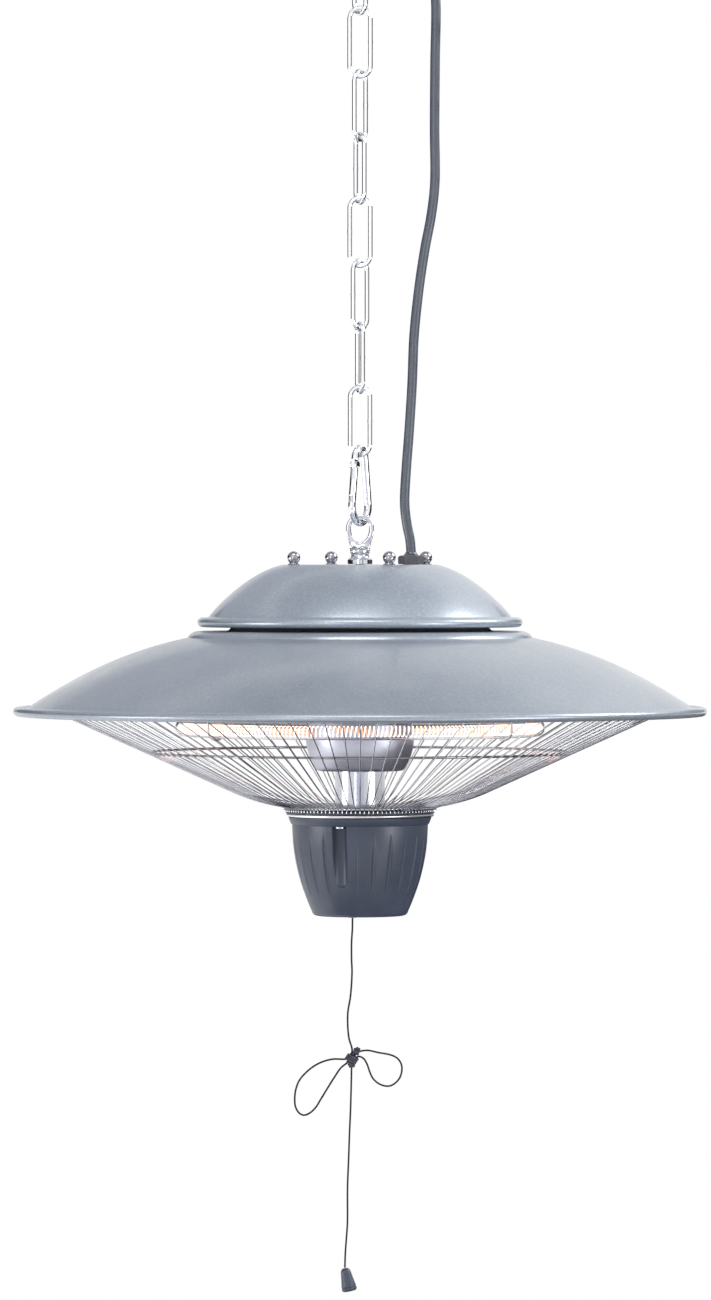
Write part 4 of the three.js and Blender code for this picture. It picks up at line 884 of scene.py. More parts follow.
# %% Ball nuts and spacers
STUD_CIRCLE, STUD_FIRST = 62.3, -66.3
ball_outline = raised([
    (0, 0.05), (4.9, 0.05), (5.1, 0.3), (5.1, 0.55), (4.9, 0.75), (3.6, 0.8), (3.6, 1.6),
    *arc(0, 5.9, 5.6, -47, 88, 22), (0, 11.5),
])
spacer_outline = deep([(2.8, 1.4), (3.4, 1.4), (3.7, 1.7), (3.7, 56.8), (3.4, 57.2), (2.8, 57.2)])
for i in range(1, 5):
    angle = math.radians(STUD_FIRST + 90 * (i - 1))
    at = {"centre": (STUD_CIRCLE * math.cos(angle), STUD_CIRCLE * math.sin(angle))}
    # The ball nuts take the darkest copy of chrome: painted shade.
    turned_part(f"ball_{i}", ball_outline, 40, shaded_ball_chrome, "chrome", "heater", f"ball_nut_{i}", **at)
    finish = (steel, "steel", "heater", f"spacer_{i}")
    turned_part(f"spacer_tube_{i}", spacer_outline, 28, *finish, closed=True, **at)
print("4 ball nuts and 4 spacers on a circle of", STUD_CIRCLE, "mm")

# %% [markdown]
# Moulded plastics
# The switch housing is a dark blue-grey moulding with a fine spark-eroded grain, a little paler
# where it has been rubbed. The gland is the same kind of plastic, browner. Plastics are not
# metallic, and the grain is a small bump. Glazed ceramic and woven sleeving get the same effects
# with other colours and grains.

# %% Plastics
def moulded(name, color, rubbed, low, high, grain_scale=1700):
    material, tree, shader = new_material(name, color, Roughness=low)
    effect = use_group(tree, grain, Scale=grain_scale, Mottle_Scale=38)
    mark = use_group(tree, marks, Patch_Scale=24, Scratch_Scale=55)
    lying = use_group(tree, dust, Amount=0.2)["Dust"]
    worn = map_range(tree, effect["Mottle"], 0.4, 0.72, 0, 0.7)
    base = blend_colors(tree, worn, color, rubbed)
    scuffed = calc(tree, "MULTIPLY", mark["Scratches"], 0.3)
    base = blend_colors(tree, scuffed, base, tuple(min(1, c * 1.5) for c in rubbed))
    set_inputs(tree, shader, {
        "Base Color": blend_colors(tree, lying, base, (0.4, 0.4, 0.39)),
        "Roughness": map_range(tree, mark["Patches"], 0.3, 0.7, low, high),
    })
    bump(tree, shader, effect["Height"], 0.06, 0.6)
    return material


housing_plastic = moulded("housing_plastic", (0.046, 0.057, 0.09), (0.066, 0.08, 0.12), 0.3, 0.42)
collar_plastic = moulded("collar_plastic", (0.035, 0.042, 0.06), (0.06, 0.068, 0.09), 0.4, 0.55)
gland_plastic = moulded("gland_plastic", (0.085, 0.078, 0.098), (0.17, 0.16, 0.185), 0.2, 0.34)
black_plastic = moulded("black_plastic", (0.022, 0.024, 0.03), (0.04, 0.042, 0.05), 0.42, 0.58)
ceramic = moulded("glazed_ceramic", (0.78, 0.74, 0.67), (0.7, 0.65, 0.57), 0.3, 0.5, 900)
sleeving = moulded("woven_sleeving", (0.62, 0.58, 0.5), (0.5, 0.46, 0.4), 0.7, 0.85, 2400)
print("plastics, ceramic and sleeving made")

# %% [markdown]
# Cable gland
# The gland clamps the cable where it enters the hood: a hexagon nut with rounded corners, a domed
# top, and a soft seal that bulges out round the cable. The nut is a six-sided prism cut by a cone,
# which leaves the curved chamfers that a real nut has.

# %% Gland
GLAND_X, GLAND_CORNER, GLAND_FOOT, GLAND_TOP = 44.1, 11.25, 0.3, 7.8
gland_axis = (GLAND_X, 0)
hexagon = [
    (GLAND_X + GLAND_CORNER * math.cos(a), GLAND_CORNER * math.sin(a)) for a in np.radians(range(0, 360, 60))
]
hex_points = [(x, y, HOOD_TOP + z) for z in (GLAND_FOOT, GLAND_TOP) for x, y in hexagon]
hex_faces = [tuple(range(6)), tuple(range(11, 5, -1))]
hex_faces += [(k, (k + 1) % 6, 6 + (k + 1) % 6, 6 + k) for k in range(6)]
gland_nut = make_object("gland_hexagon", hex_points, hex_faces)
cone_outline = raised([(0, 0.2), (10.6, 0.2), (11.3, 1.2), (11.3, 6.2), (9.6, GLAND_TOP), (0, 8.2)])
combined(gland_nut, turned_part("cone", cone_outline, 72, centre=gland_axis), "INTERSECT")
cable_way = rod("cable_way", 4.3, (GLAND_X, 0, HOOD_TOP - 3), (GLAND_X, 0, HOOD_TOP + 12))
combined(gland_nut, cable_way, "DIFFERENCE")
softened(gland_nut, 0.35, 3, 25)
finish_piece(gland_nut, gland_plastic, "black_plastic", "heater", "gland_nut")
seal_outline = raised([
    (4.25, 6.5), (6.9, 6.5), (6.9, 7.7), (6.2, 8.6), (5.2, 9.3), (4.75, 10.6), (4.35, 10.9), (4.25, 10.4),
])
turned_part("gland_seal", seal_outline, 48, rubber, "rubber", "heater", centre=gland_axis, closed=True)
print("gland nut", 2 * GLAND_CORNER, "mm across its corners")

# %% [markdown]
# Drum, column and reflector
# Under the hood a polished drum hangs in the middle, with a foot that curves in to a narrower
# column. Round them a wide shallow reflector throws the heat down. All are thin polished steel and
# mirror the ring and the guard.

# %% Drum, column and reflector
DRUM_RADIUS, drum_bend, drum_foot = 46.7, (46.7, 150), (39.8, 174.5)
drum_outer = deep([
    (4.3, 63.2), (45.9, 63.2), (DRUM_RADIUS, 64), drum_bend,
    *bezier(drum_bend, (46.7, 161), (43, 168), drum_foot, 14)[1:],
    *bezier(drum_foot, (38.6, 177), (37.2, 178.3), (34.6, 178.3), 6)[1:], (21.9, 178.3),
])
metal = ("polished_metal", "heater")
turned_part(
    "drum_polished", sheet(drum_outer, 0.9), 128, drum_steel, *metal, "centre_drum", closed=True, sharp=30,
)
column_outer = deep([(20.1, 64.4), (21.6, 64.4), (21.6, 207.7), (20.1, 207.7)])
turned_part("column_polished", column_outer, 96, polished, *metal, "centre_column", closed=True)
reflector_outer = deep([(4.3, 62.1), (58, 62.1), (61.6, 62.7), (213.6, 97.7), (214.8, 98.4)])
turned_part("reflector_polished", sheet(reflector_outer, 0.8), 192, mirror, *metal, "reflector", closed=True)
plate_outline = deep([(4.3, 208), (61.5, 208), (62.3, 208.7), (62.3, 210.4), (61.6, 211), (4.3, 211)])
turned_part("base_plate_pressed", plate_outline, 96, steel, "steel", "heater", "base_plate", closed=True)
print("drum", 2 * DRUM_RADIUS, "mm, reflector", round(2 * reflector_outer[-1][0]), "mm across")

# %% [markdown]
# Quartz and a glowing coil
# The element is an open quartz ring with a wound heating wire inside, white-hot on the outer side
# of each turn and orange on the inner side, which shows between the turns. The glow is chosen by
# the distance from the heater's axis. Quartz is plain glass here. For the light of lamps and of the
# coil it is swapped for a clear shader, because a renderer can't easily find its way through two
# walls of glass.

# %% Quartz and coil finishes
def choose_shader(tree, share, first, second, output):
    choice = node(tree, "MixShader", {0: share, 1: first.outputs[0], 2: second.outputs[0]})
    tree.links.new(choice.outputs[0], tree.nodes[output].inputs["Surface"])


quartz, tree, shader = new_material(
    "quartz_glass", (0.97, 0.98, 1.0), Roughness=0.02, IOR=1.3, Transmission_Weight=1.0,
)
effect = use_group(tree, marks, Patch_Scale=60, Scratch_Scale=120)
set_inputs(tree, shader, {"Roughness": map_range(tree, effect["Patches"], 0.35, 0.75, 0.01, 0.09)})
is_shadow = node(tree, "LightPath").outputs["Is Shadow Ray"]
choose_shader(tree, is_shadow, shader, node(tree, "BsdfTransparent"), "Material Output")

glowing, tree, shader = new_material(
    "glowing_wire", (0.35, 0.12, 0.05), Roughness=0.6, Emission_Strength=3.2,
)
where = object_place(tree)
flat = node(tree, "VectorMath", {0: where, 1: (1, 1, 0)}, operation="MULTIPLY").outputs["Vector"]
outwards = node(tree, "VectorMath", {0: flat}, operation="LENGTH").outputs["Value"]
inside = blend_colors(tree, noise(tree, where, 12.0), (0.38, 0.15, 0.07), (0.5, 0.22, 0.11))
hot_from, hot_to = 0.151, 0.1555
hot = map_range(tree, outwards, hot_from, hot_to, 0, 1)
set_inputs(tree, shader, {"Emission Color": blend_colors(tree, hot, inside, (1.0, 0.8, 0.68))})
print("finishes made:", quartz.name, glowing.name)

# %% [markdown]
# Ring element
# The ring is nearly a full circle, 306 mm across its middle line, open at the back where ceramic
# caps close its ends. The wire inside makes about 250 turns. Two wire clips come down from the
# reflector and hook in under the ring.

# %% Quartz ring
RING_RADIUS, RING_DEPTH, RING_OPEN = 153.0, 141.0, 8.0
QUARTZ_RADIUS, QUARTZ_BORE, QUARTZ_SIDES, QUARTZ_STEPS = 7.2, 6.2, 28, 200
ring_height = HOOD_TOP - RING_DEPTH
ring_start, ring_stop = 90 + RING_OPEN, 450 - RING_OPEN


def ring_line(radius, start, stop, steps, height=ring_height):
    angles = np.radians(np.linspace(start, stop, steps))
    return [(radius * math.cos(a), radius * math.sin(a), height) for a in angles]


def full_ring(radius, steps, height):
    return ring_line(radius, 0, 360, steps + 1, height)[:-1]


ring_center = ring_line(RING_RADIUS, ring_start, ring_stop, QUARTZ_STEPS)
outside, bore = (tube(ring_center, radius, QUARTZ_SIDES)[:2] for radius in (QUARTZ_RADIUS, QUARTZ_BORE))
quartz_points, quartz_faces = joined([
    (outside[0], outside[1][:-2]), (bore[0], [face[::-1] for face in bore[1][:-2]]),
])
outer_rows = even_rows(QUARTZ_STEPS, QUARTZ_SIDES)
bore_rows = even_rows(QUARTZ_STEPS, QUARTZ_SIDES, len(outside[0]))
for end in (0, -1):
    quartz_faces += skin([outer_rows[end], bore_rows[end]])
quartz_tube = make_object("quartz_ring", quartz_points, quartz_faces)
finish_piece(quartz_tube, quartz, "quartz", "heater", "quartz_tube")
print("quartz ring", round(2 * (RING_RADIUS + QUARTZ_RADIUS)), "mm across")

# %% Heating coil
COIL_TURNS, COIL_RADIUS, COIL_WIRE, COIL_FADE = 250, 4.4, 0.42, 0.004
coil_line = []
for share in (i / (COIL_TURNS * 12) for i in range(COIL_TURNS * 12 + 1)):
    a = math.radians(ring_start + (ring_stop - ring_start) * share)
    wound = math.tau * COIL_TURNS * share
    reach = COIL_RADIUS * min(1, share / COIL_FADE, (1 - share) / COIL_FADE)
    out = RING_RADIUS + reach * math.cos(wound)
    coil_line.append((out * math.cos(a), out * math.sin(a), ring_height + reach * math.sin(wound)))
finish_piece(wire_piece("coil_wound", coil_line, COIL_WIRE, 6), glowing, "coil", "heater", "heating_coil")
print(f"coil {COIL_TURNS} turns, {length_of(np.array(coil_line)) * MM:.1f} m of wire")

# %% Ceramic caps
cap_outline = [
    (7.75, 8), (8.7, 8), (9.2, 7.4), (9.2, 2), (8.8, 1.5), (8.8, 0.5), (9.2, 0), (9.2, -7.2), (8.4, -8),
    (2, -8), (1.6, -7), (1.6, -2), (7.75, -0.5),
]
for side, angle, way in (("left", ring_start, 1), ("right", ring_stop, -1)):
    cap = turned_part(f"cap_{side}", cap_outline, 40, closed=True)
    cap.data.transform(Matrix.Rotation(-math.pi / 2 * way, 4, "X"))
    cap.data.transform(Matrix.Translation((RING_RADIUS * MM, 0, ring_height * MM)))
    cap.data.transform(Matrix.Rotation(math.radians(angle), 4, "Z"))
    finish_piece(cap, ceramic, "ceramic", "heater", f"tube_cap_{side}")
print("two ceramic caps, 16 mm long")

# %% Bracket and clips
CLIP_REACH, CLIP_ANGLES = 8.5, (-143.2, -36.8)
low, high = (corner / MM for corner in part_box("tube_bracket"))
bracket = block("bracket", tuple(high - low), tuple((low + high) / 2))
for x in (-6, 6):
    combined(bracket, rod("bolt_hole", 2, (x, 130, high.z - 8), (x, 170, high.z - 8)), "DIFFERENCE")
softened(bracket, 0.4, 2)
finish_piece(bracket, steel, "steel", "heater", "tube_bracket")
clip_radius = RING_RADIUS + CLIP_REACH
reflector_fall = (clip_radius + 1 - 60) * 36 / 155
reflector_under = HOOD_TOP - 62.9 - reflector_fall
hook = [(clip_radius, z) for z in np.linspace(reflector_under - 0.4, ring_height + 2, 8)]
hook += arc(RING_RADIUS, ring_height, CLIP_REACH, 0, -140, 24)
for i, a in enumerate(map(math.radians, CLIP_ANGLES), 1):
    clip = wire_piece(f"clip_{i}", [(r * math.cos(a), r * math.sin(a), z) for r, z in hook], 1.0, 14)
    finish_piece(clip, steel, "steel", "heater", f"tube_clip_{i}")
print("bracket and two clips under the reflector")

# %% [markdown]
# Wire guard
# The guard is a basket of 108 thin chromed wires, welded to three rings: a rim under the edge of the hood, a
# middle ring, and a neck ring round the base plate. Below the neck ring each wire ends in a short tip that
# is bent down over the collar. All wires are the same, so one is worked out and then turned about the axis.
# Wires and rings take a darker copy of chrome, and the middle ring's faces a second, darker one still:
# painted shade.

# %% Guard wires
GUARD_WIRES, GUARD_WIRE, RING_WIRE, MIDDLE_WIRE = 108, 0.52, 1.4, 1.1
rim_radius, middle_radius, neck_radius, bend_radius = 276.0, 182.0, 64.0, 110.0
shade_floor = np.array(shade_under)
rim_gap, rim_half = 0.4, 1.5
rim_height = float(np.interp(rim_radius + 3, shade_floor[:, 0], shade_floor[:, 1])) - rim_gap - rim_half
bend_height, neck_height = HOOD_TOP - 196.8, HOOD_TOP - 209.8
fall = (bend_height - rim_height) / (rim_radius - bend_radius)
reach = (bend_height - neck_height) / -fall * 0.65
bend, neck = (bend_radius, bend_height), (neck_radius, neck_height)
control = (bend_radius - reach, bend_height + fall * reach)
straight = [(r, rim_height + fall * (rim_radius - r)) for r in np.linspace(rim_radius, bend_radius, 12)]
curved = [
    tuple((1 - t) ** 2 * p + 2 * t * (1 - t) * q + t**2 * s for p, q, s in zip(bend, control, neck))
    for t in np.linspace(0, 1, 11)[1:-1]
]
wire_tip = [(r, neck_height - drop) for r, drop in ((64.9, 0.7), (65.7, 1.6), (65.8, 2.6), (65.7, 3.4))]
guard_parts = []
for a in (math.tau * i / GUARD_WIRES for i in range(GUARD_WIRES)):
    line = [(r * math.cos(a), r * math.sin(a), z) for r, z in [*straight, *curved, *wire_tip]]
    guard_parts.append(tube(line, GUARD_WIRE, 8)[:2])
print(f"{GUARD_WIRES} guard wires, rim at {HOOD_TOP - rim_height:.1f} mm below the hood's top")

# %% Guard rings
middle_height = rim_height + fall * (rim_radius - middle_radius) + 1.7
for radius, height, wire in (
    (rim_radius, rim_height, RING_WIRE), (neck_radius, neck_height, RING_WIRE),
    (middle_radius, middle_height, MIDDLE_WIRE),
):
    guard_parts.append(tube(full_ring(radius, 180, height), wire, 10, closed=True)[:2])
guard = make_object("guard_wires", *joined(guard_parts), sharp=60)
finish_piece(guard, shaded_guard_chrome, "chrome", "heater", "guard_cage")
# The middle ring's faces take the darkest copy of chrome: painted shade.
guard.data.materials.append(shaded_ball_chrome)
middle_faces = len(guard_parts[-1][1])
for polygon in list(guard.data.polygons)[-middle_faces:]:
    polygon.material_index = 1
print(len(guard.data.polygons), "faces in the guard")

# %% [markdown]
# Collar and bead
# Where the guard meets the switch housing there is a dark collar, and under it a chromed bead, like
# a bright line between two dark parts.

# %% Collar and bead
collar_outline = deep([
    (59.9, 211.8), (64.2, 211.6), (64.8, 212.2), (64.8, 214), (64.2, 214.6), (59.9, 214.5),
])
turned_part(
    "collar_moulded", collar_outline, 120, collar_plastic, "housing_plastic", "heater", "guard_collar",
    closed=True,
)
bead_ring = wire_piece("bead_ring", full_ring(62.6, 144, HOOD_TOP - 216.2), 1.45, 18, closed=True)
finish_piece(bead_ring, satin_chrome, "chrome", "heater", "guard_bead")
print("collar and bead in place")

# %% [markdown]
# Switch housing
# The housing is a moulded cup whose wall tapers in a long curve to a small flat foot. It has three
# deep screw pockets and, between them, shallow upright grooves that are widest at their middle,
# each with a low ridge beside it. The wall is a grid of angle and depth, and each point of the grid
# is drawn inwards where a groove or a pocket takes material away. The grid is finer at the edges of
# grooves and pockets, so that they stay crisp.

# %% Housing outline
POT_TOP, POT_SHOULDER, POT_BEND, POT_FLOOR = 217.8, 224.8, 299, 303.5
POCKET_CIRCLE, POCKET_LEAN, POCKET_RADIUS, POCKET_TOP, POCKET_FOOT = 57.6, 0.06, 6.2, 224.9, 274.0
GROOVE_HALF, GROOVE_DEPTH, RIDGE_HEIGHT, GROOVE_TOP, GROOVE_FOOT = 1.3, 0.85, 0.4, 231, 286
flange = [
    (61.2, POT_TOP), (61.8, 218.3), (61.7, 219.1), (59.9, 223.7), (59.6, 224.1), (58.9, 224.25),
    (58.7, 224.7),
]
wall_line = swept((58.8, POT_SHOULDER), (42, POT_BEND), ((0.05, 0.4), (0.5, 0.75)), 400)
foot_line = bezier((42, POT_BEND), (41.2, 301.6), (40.2, 303.1), (37.2, POT_FLOOR), 7)[1:]
wall_radii, wall_depths = zip(*wall_line)
depths = sorted({*np.linspace(POT_SHOULDER, POT_BEND, 96), 224.88, 224.92})
wall = [(float(np.interp(depth, wall_depths, wall_radii)), depth) for depth in depths]


def groove_depth(away, depth):
    """How far a groove cuts in, less its ridge, at a distance across it and a depth."""
    share = (depth - GROOVE_TOP) / (GROOVE_FOOT - GROOVE_TOP)
    fade = math.sin(math.pi * share) ** 0.6 if 0 < share < 1 else 0.0
    half = GROOVE_HALF * fade
    if half < 0.05:
        return 0.0
    valley = GROOVE_DEPTH * fade * max(0.0, 1 - abs(away + half * 0.5) / half)
    ridge = RIDGE_HEIGHT * fade * max(0.0, 1 - abs(away - half * 0.9) / half)
    return valley - ridge


def pocket_radius(angle, depth):
    """Distance of the pocket's wall from the axis, or infinity where there is no pocket."""
    if not POCKET_TOP <= depth < POCKET_FOOT + POCKET_RADIUS:
        return math.inf
    reach = math.sqrt(POCKET_RADIUS**2 - max(depth - POCKET_FOOT, 0) ** 2)
    circle = POCKET_CIRCLE - POCKET_LEAN * (depth - POCKET_TOP)
    across = circle * math.sin(angle)
    return circle * math.cos(angle) - math.sqrt(reach**2 - across**2) if abs(across) < reach else math.inf


print(f"housing wall in {len(wall)} rows")

# %% Housing mesh
pocket_degrees = (-107.8, 12.2, 132.2)
pocket_angles = [math.radians(a) for a in pocket_degrees]
groove_angles = [math.radians(a + 15 * k) for a in pocket_degrees for k in range(1, 8)]
columns = set(np.round(np.radians(np.arange(0, 360, 2.5)), 5))
for angles, first, last in ((pocket_angles, -7, 7.01), (groove_angles, -2.1, 2.8)):
    near = [math.radians(x) for x in np.arange(first, last, 0.35)]
    columns |= {round((a + x) % math.tau, 5) for a in angles for x in near}
columns = sorted(columns)


def nearest(angle, choices):
    return min((math.remainder(angle - c, math.tau) for c in choices), key=abs)


housing_rows = [*flange, *wall, *foot_line]
housing_points = []
for radius, depth in housing_rows:
    for a in columns:
        r = radius - groove_depth(radius * nearest(a, groove_angles), depth)
        r = min(r, pocket_radius(nearest(a, pocket_angles), depth))
        housing_points.append((r * math.cos(a), r * math.sin(a), HOOD_TOP - depth))
rows = even_rows(len(housing_rows), len(columns))
housing_faces = skin(rows)
for row, depth in ((rows[0], POT_TOP), (rows[-1], POT_FLOOR)):
    housing_faces += skin([[len(housing_points)] * len(columns), row])
    housing_points.append((0, 0, HOOD_TOP - depth))
housing = make_object("housing_moulded", housing_points, housing_faces, sharp=32)
finish_piece(housing, housing_plastic, "housing_plastic", "heater", "switch_housing")
print(len(housing_faces), "faces,", len(groove_angles), "grooves,", len(pocket_angles), "pockets")

# %% [markdown]
# Housing screws
# Each pocket hides the head of a long screw. The head is a low dome with a cross recess, made from
# rings of points whose height dips wherever they fall on one of the cross's two arms.

# %% Screws
SCREW_CIRCLE, SCREW_DEPTH, SCREW_RADIUS, SCREW_HEIGHT, SCREW_SIDES = 56.1, 225.1, 4.0, 2.2, 48
RECESS_DEPTH, RECESS_HALF, RECESS_SHARE = 1.1, 0.5, 0.62


def screw_head(name, x, y, under):
    """A domed head that faces down, with a cross recess; under is the height of its flat upper side."""
    points = [(x, y, under - SCREW_HEIGHT + RECESS_DEPTH)]
    spokes = [(math.cos(a), math.sin(a)) for a in np.linspace(0, math.tau, SCREW_SIDES, endpoint=False)]
    for share in np.linspace(0, 1, 15)[1:]:
        for u, v in ((share * SCREW_RADIUS * p, share * SCREW_RADIUS * q) for p, q in spokes):
            arm = min(abs(u), abs(v)) < RECESS_HALF and share < RECESS_SHARE
            dome_height = SCREW_HEIGHT * (1 - 0.45 * share**2) - (RECESS_DEPTH if arm else 0)
            points.append((x + u, y + v, under - dome_height))
    points += [(x + SCREW_RADIUS * p, y + SCREW_RADIUS * q, under) for p, q in spokes]
    rows = even_rows(15, SCREW_SIDES, 1)
    faces = skin([[0] * SCREW_SIDES, *rows])
    return make_object(name, points, [*faces, tuple(rows[-1])], sharp=30)


for i, angle in enumerate(pocket_angles, 1):
    at = (SCREW_CIRCLE * math.cos(angle), SCREW_CIRCLE * math.sin(angle), HOOD_TOP - SCREW_DEPTH)
    finish_piece(screw_head(f"screw_{i}", *at), steel, "steel", "heater", f"housing_screw_{i}")
print("3 screw heads,", 2 * SCREW_RADIUS, "mm across")

# %% [markdown]
# Bush and knob
# The cord leaves through a small black bush. The knob is a bell of turned plastic with a groove
# near its wide end, and it hangs tilted, as the photograph shows it. It is turned upright first and
# then tipped about its top.

# %% Bush and knob
KNOB_TILT, KNOB_TOP = -12, (-13.1, 0, HOOD_TOP - 608.9)
bush_outline = deep([
    (1.1, 303.8), (4.0, 303.8), (4.2, 304.1), (4.1, 305.0), (3.4, 305.4), (1.7, 305.4), (1.2, 304.9),
    (1.1, 304.2),
])
turned_part(
    "bush_moulded", bush_outline, 40, black_plastic, "black_plastic", "heater", "cord_bush",
    centre=(-6.5, 0), closed=True,
)
knob_outline = [
    (0, 0), (1.5, 0), (2.6, -0.35), (3.45, -1.1), (4.05, -2.3), (4.45, -3.9), (4.85, -6.4), (5.25, -9.2),
    (5.7, -12), (6.15, -14.6), (6.4, -16.1), (6.38, -16.4), (6.05, -16.6), (6.05, -16.85), (6.45, -17.1),
    (6.62, -17.9), (6.5, -18.9), (6.0, -19.8), (5.2, -20.25), (4.4, -20.3), (0, -19.7),
]
knob = turned_part("knob_turned", knob_outline, 56, sharp=28)
tilted = Matrix.Rotation(math.radians(KNOB_TILT), 4, "Y")
knob.data.transform(Matrix.Translation(Vector(KNOB_TOP) * MM) @ tilted)
finish_piece(knob, housing_plastic, "housing_plastic", "pull_cord", "pull_knob")
print("knob 20 mm long, hanging", round(-pull_line[-1][2]), "mm under the ceiling")

# %% [markdown]
# Ceiling fitting
# Above the picture the chain hangs from a hook under a painted canopy, a shallow cup that hides the
# plate screwed to the ceiling. The mains cable comes out of the canopy through a small gland.

# %% Ceiling fitting
OUTLET_X, PLATE_HOLES = 54, (-52, 52)
canopy_outer = [(73.4, 0), *arc(64.5, -11, 9, 0, -90, 12), (3.3, -20)]
canopy = turned_part("canopy_pressed", sheet(canopy_outer, 1.2), 144, closed=True)
combined(canopy, rod("outlet_hole", 8.3, (OUTLET_X, 0, -26), (OUTLET_X, 0, -12), 40), "DIFFERENCE")
finish_piece(canopy, canopy_paint, "canopy_paint", "ceiling_mount", "ceiling_canopy")
plate_edge = [(0, 0), (71.4, 0), (72, -0.6), (72, -3.4), (71.4, -4), (0, -4)]
ceiling_plate = turned_part("plate_pressed", plate_edge, 96)
for side in PLATE_HOLES:
    combined(ceiling_plate, rod("plate_hole", 2.6, (0, side, -9), (0, side, 5)), "DIFFERENCE")
finish_piece(ceiling_plate, steel, "steel", "ceiling_mount", "ceiling_plate")
outlet_outline = [
    (4.5, -34.2), (5.6, -34.3), (7.8, -33), (8.6, -30.6), (10.2, -30), (10.5, -29.2), (10.5, -21),
    (10.1, -20.4), (8, -20.3), (8, -18.5), (10.5, -18.5), (10.5, -15), (4.5, -15),
]
turned_part(
    "outlet_moulded", outlet_outline, 48, black_plastic, "black_plastic", "ceiling_mount", "canopy_outlet",
    centre=(OUTLET_X, 0), closed=True,
)
print("canopy", 2 * canopy_outer[0][0], "mm across")

# %% Ceiling hook
HOOK_CENTER, HOOK_RADIUS, HOOK_WIRE = -49.0, 12.0, 3.0
hook_ring = arc(0, HOOK_CENTER, HOOK_RADIUS, 150, 390, 48)
neck_foot = (0, HOOK_CENTER + 2 * HOOK_RADIUS)
hook_neck = swept(neck_foot, hook_ring[0], ((0, 0.4), (0.75, 0.6)), 14)
shank = [(0, z) for z in np.linspace(-1.6, neck_foot[1], 8)[:-1]]
hook_line = [(x, 0, z) for x, z in [*shank, *hook_neck, *hook_ring[1:]]]
wire_radii = np.array([1.0] * (len(hook_line) - 4) + [0.98, 0.9, 0.74, 0.45]) * HOOK_WIRE
ceiling_hook = wire_piece("hook_bent", hook_line, wire_radii, 24)
nut_outline = [(0, -4.3), (7.4, -4.3), (8, -4.9), (8, -6.6), (7.2, -7.3), (3.4, -7.3), (0, -7.3)]
combined(ceiling_hook, turned_part("hook_nut", nut_outline, 48), "UNION")
finish_piece(ceiling_hook, chrome, "chrome", "ceiling_mount", "ceiling_hook")
print("hook of", 2 * HOOK_WIRE, "mm wire under the canopy")

# %% [markdown]
# Solids that stay as they are
# What sits inside the hood and the switch housing has the right shape already: the stud plate, the
# tie rod, the terminal block, the leads and the pull switch. These keep their solids and get the
# finishes made above.

# %% Finishes on the remaining solids
kept = {
    "stud_plate": steel, "tie_rod": steel, "terminal_block": ceramic, "supply_tail": rubber,
    "switch_leads": sleeving, "switch_body": black_plastic, "switch_rotor": ceramic,
    "pull_cord_inner": rubber, "gland_body": gland_plastic,
}
for name, material in kept.items():
    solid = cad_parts[name]
    solid.data.materials.clear()
    solid.data.materials.append(material)

# %% [markdown]
# Studio
# The heater hangs over a plain pale floor in soft white light. The background is white for the
# camera and for whatever chrome and glass mirror, but lights the heater less than that.

# %% World
def seen_ray(tree):
    """One for rays that look, straight or by a mirror or glass, and zero for those that light."""
    rays = node(tree, "LightPath").outputs
    seen = calc(tree, "MAXIMUM", rays["Is Camera Ray"], rays["Is Glossy Ray"])
    return calc(tree, "MAXIMUM", seen, rays["Is Transmission Ray"])


world = bpy.data.worlds.new("studio")
bpy.context.scene.world = world
world.use_nodes = True
tree = world.node_tree
lighting = tree.nodes["Background"]
set_inputs(tree, lighting, {"Color": (1, 1, 1, 1), "Strength": 0.55})
backdrop = node(tree, "Background", {"Color": (1, 1, 1, 1), "Strength": 1.0})
choose_shader(tree, seen_ray(tree), lighting, backdrop, "World Output")
bpy.context.scene.view_settings.view_transform = "Standard"
print("white background, softer light")

# %% [markdown]
# Lamps
# A large soft key light stands high on the right, a little behind the heater, and gives the paint
# its bright right side. Weak lights on the left and low on both sides keep the housing and the
# underside of the rims from going dark, and one high in front draws the soft gleam along the hoods.

# %% Lamps
lamps = {
    "key_right": ((3.0, 0.6, 1.1), (0.1, 0, -0.7), (1.6, 2.4), 94),
    "fill_left": ((-3.2, -0.6, 0.2), (0, 0, -0.7), (1.4, 2.4), 7),
    "low_left": ((-2.6, -0.8, -1.0), (0, 0, -0.8), (1.1, 0.6), 15),
    "low_right": ((2.3, -1.5, -1.0), (0, 0, -0.8), (1.2, 0.5), 16),
    "front_left": ((-1.0, -2.8, -0.15), (0, 0, -0.4), (0.5, 1.5), 8),
    "front_high": ((-0.2, -1.5, 2.1), (0, 0, -0.7), (1.8, 1.2), 28),
}
for name, (place, aim, size, watts) in lamps.items():
    lamp = bpy.data.lights.new(name, "AREA")
    lamp.shape, lamp.energy = "RECTANGLE", watts
    lamp.size, lamp.size_y = size
    holder = bpy.data.objects.new(name, lamp)
    bpy.context.scene.collection.objects.link(holder)
    holder.location = place
    holder.rotation_euler = (Vector(aim) - Vector(place)).to_track_quat("-Z", "Y").to_euler()
print(len(lamps), "soft lights")

# %% [markdown]
# Floor
# The floor is pale and glows a little to whoever looks at it, so that it runs into the white
# background and still takes the heater's shadow. From below it is clear, so that the underside of
# the heater can be looked at as well.

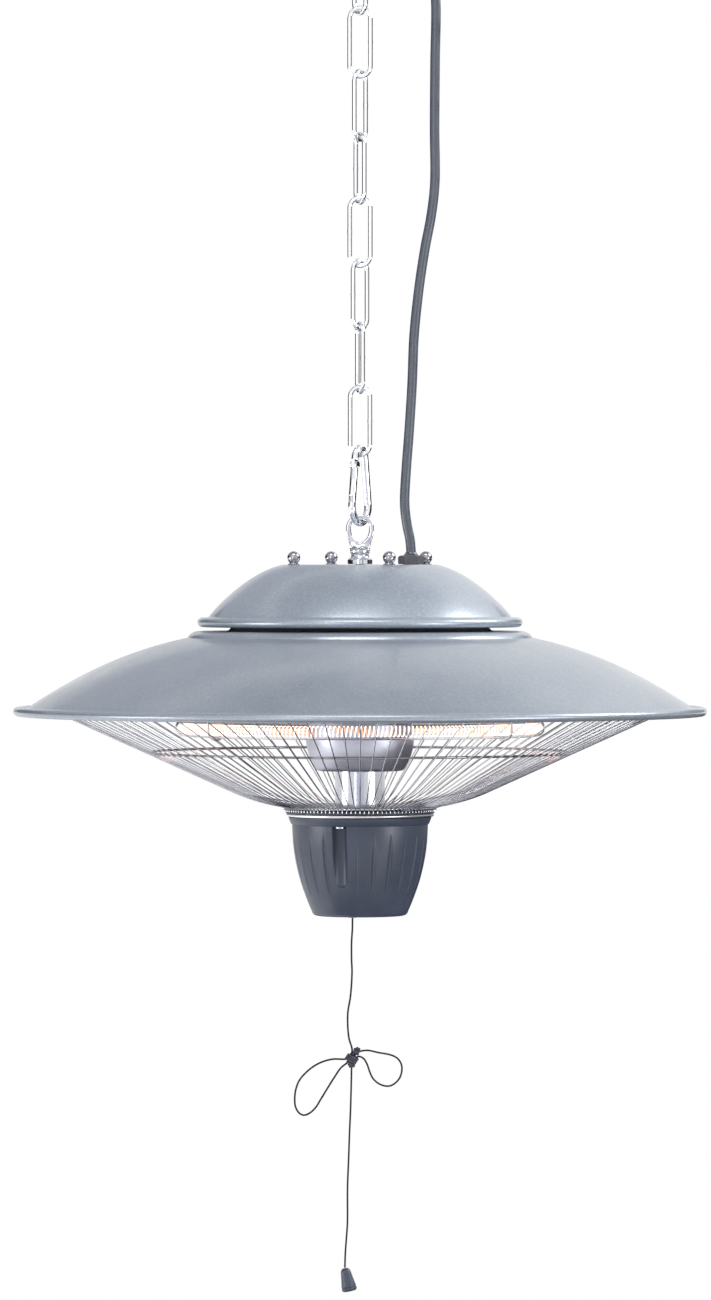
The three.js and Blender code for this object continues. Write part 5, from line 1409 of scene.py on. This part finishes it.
# %% Floor
FLOOR_HEIGHT, FLOOR_RADIUS = -1600, 3200
floor = turned_part("floor", [(0, FLOOR_HEIGHT), (FLOOR_RADIUS, FLOOR_HEIGHT)], 96)
if floor.data.polygons[0].normal.z < 0:
    floor.data.flip_normals()
floor_finish, tree, shader = new_material("pale_floor", (0.82, 0.82, 0.82), Roughness=0.7)
tone = map_range(tree, use_group(tree, grain, Scale=300, Mottle_Scale=2)["Mottle"], 0.3, 0.7, 0, 1)
set_inputs(tree, shader, {
    "Base Color": blend_colors(tree, tone, (0.81, 0.81, 0.81), (0.84, 0.84, 0.84)),
    "Emission Color": (1, 1, 1, 1), "Emission Strength": calc(tree, "MULTIPLY", seen_ray(tree), 0.45),
})
backfacing = node(tree, "NewGeometry").outputs["Backfacing"]
choose_shader(tree, backfacing, shader, node(tree, "BsdfTransparent"), "Material Output")
floor.data.materials.append(floor_finish)
floor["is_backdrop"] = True
print(f"floor {2 * FLOOR_RADIUS * MM} m across, 0.38 m under the knob; clear when seen from below")

# %% [markdown]
# Cards for reflections
# Bright metal on white needs something dark to mirror, or it vanishes, so photographers hang cards
# just outside the picture. The dark ones give chrome and guard their black lines, the grey ones
# shade the left of the paint, and the lilac one colours the drum. They are seen only by
# reflections.

# %% Cards for reflections
def card_finish(name, color):
    material, tree, shader = new_material(name, color, Roughness=1.0)
    mottle = use_group(tree, grain, Scale=200, Mottle_Scale=3)["Mottle"]
    set_inputs(tree, shader, {
        "Base Color": blend_colors(tree, mottle, color, tuple(c * 1.1 for c in color)),
        "Emission Color": (*color, 1), "Emission Strength": node(tree, "LightPath").outputs["Is Glossy Ray"],
    })
    return material


def place_card(name, material, first, last, near, far, low, high):
    """A curved card from one compass angle to another, 0 in front, with two radii and two heights."""
    points = [
        (r * math.sin(a), -r * math.cos(a), z)
        for r, z in ((near, low), (far, high)) for a in np.radians(np.linspace(first, last, 25))
    ]
    card = make_object(name, points, skin(even_rows(2, 25), around=False))
    card.data.materials.append(material)
    card.visible_camera = card.visible_diffuse = card.visible_shadow = card.visible_transmission = False
    card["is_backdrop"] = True


dark_card = card_finish("dark_card", (0.006, 0.007, 0.01))
grey_card = card_finish("grey_card", (0.22, 0.23, 0.26))
lilac_card = card_finish("lilac_card", (0.33, 0.33, 0.4))
cards = {
    "card_behind_right": (dark_card, 72, 158, 2600, 2600, -660, 300),
    "card_behind_left": (dark_card, 202, 288, 2600, 2600, -660, 300),
    "card_low_right": (dark_card, 60, 176, 2600, 2600, -1540, -900),
    "card_below": (dark_card, 50, 205, 150, 2600, -1540, -1540),
    "card_front_floor": (dark_card, 285, 418, 60, 1100, -1545, -1545),
    "card_front": (lilac_card, -18, 18, 2600, 2600, -1500, -600),
    "card_left": (grey_card, 182, 300, 2580, 2580, 300, 2000),
    "card_above": (grey_card, 60, 330, 100, 2400, 2500, 2500),
}
for name, card in cards.items():
    place_card(name, *card)
print(len(cards), "cards, seen only by what is bright enough to mirror them")

# %% [markdown]
# Measure and finish The boxes of the solids and of the visual model are printed side by side.
# The visual model has to stay inside the box of the solids.

# %% Finish
visual_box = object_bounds()
for label, box in (("solids", cad_box), ("visual", visual_box)):
    print(label, [[round(c / MM, 2) for c in corner] for corner in box])
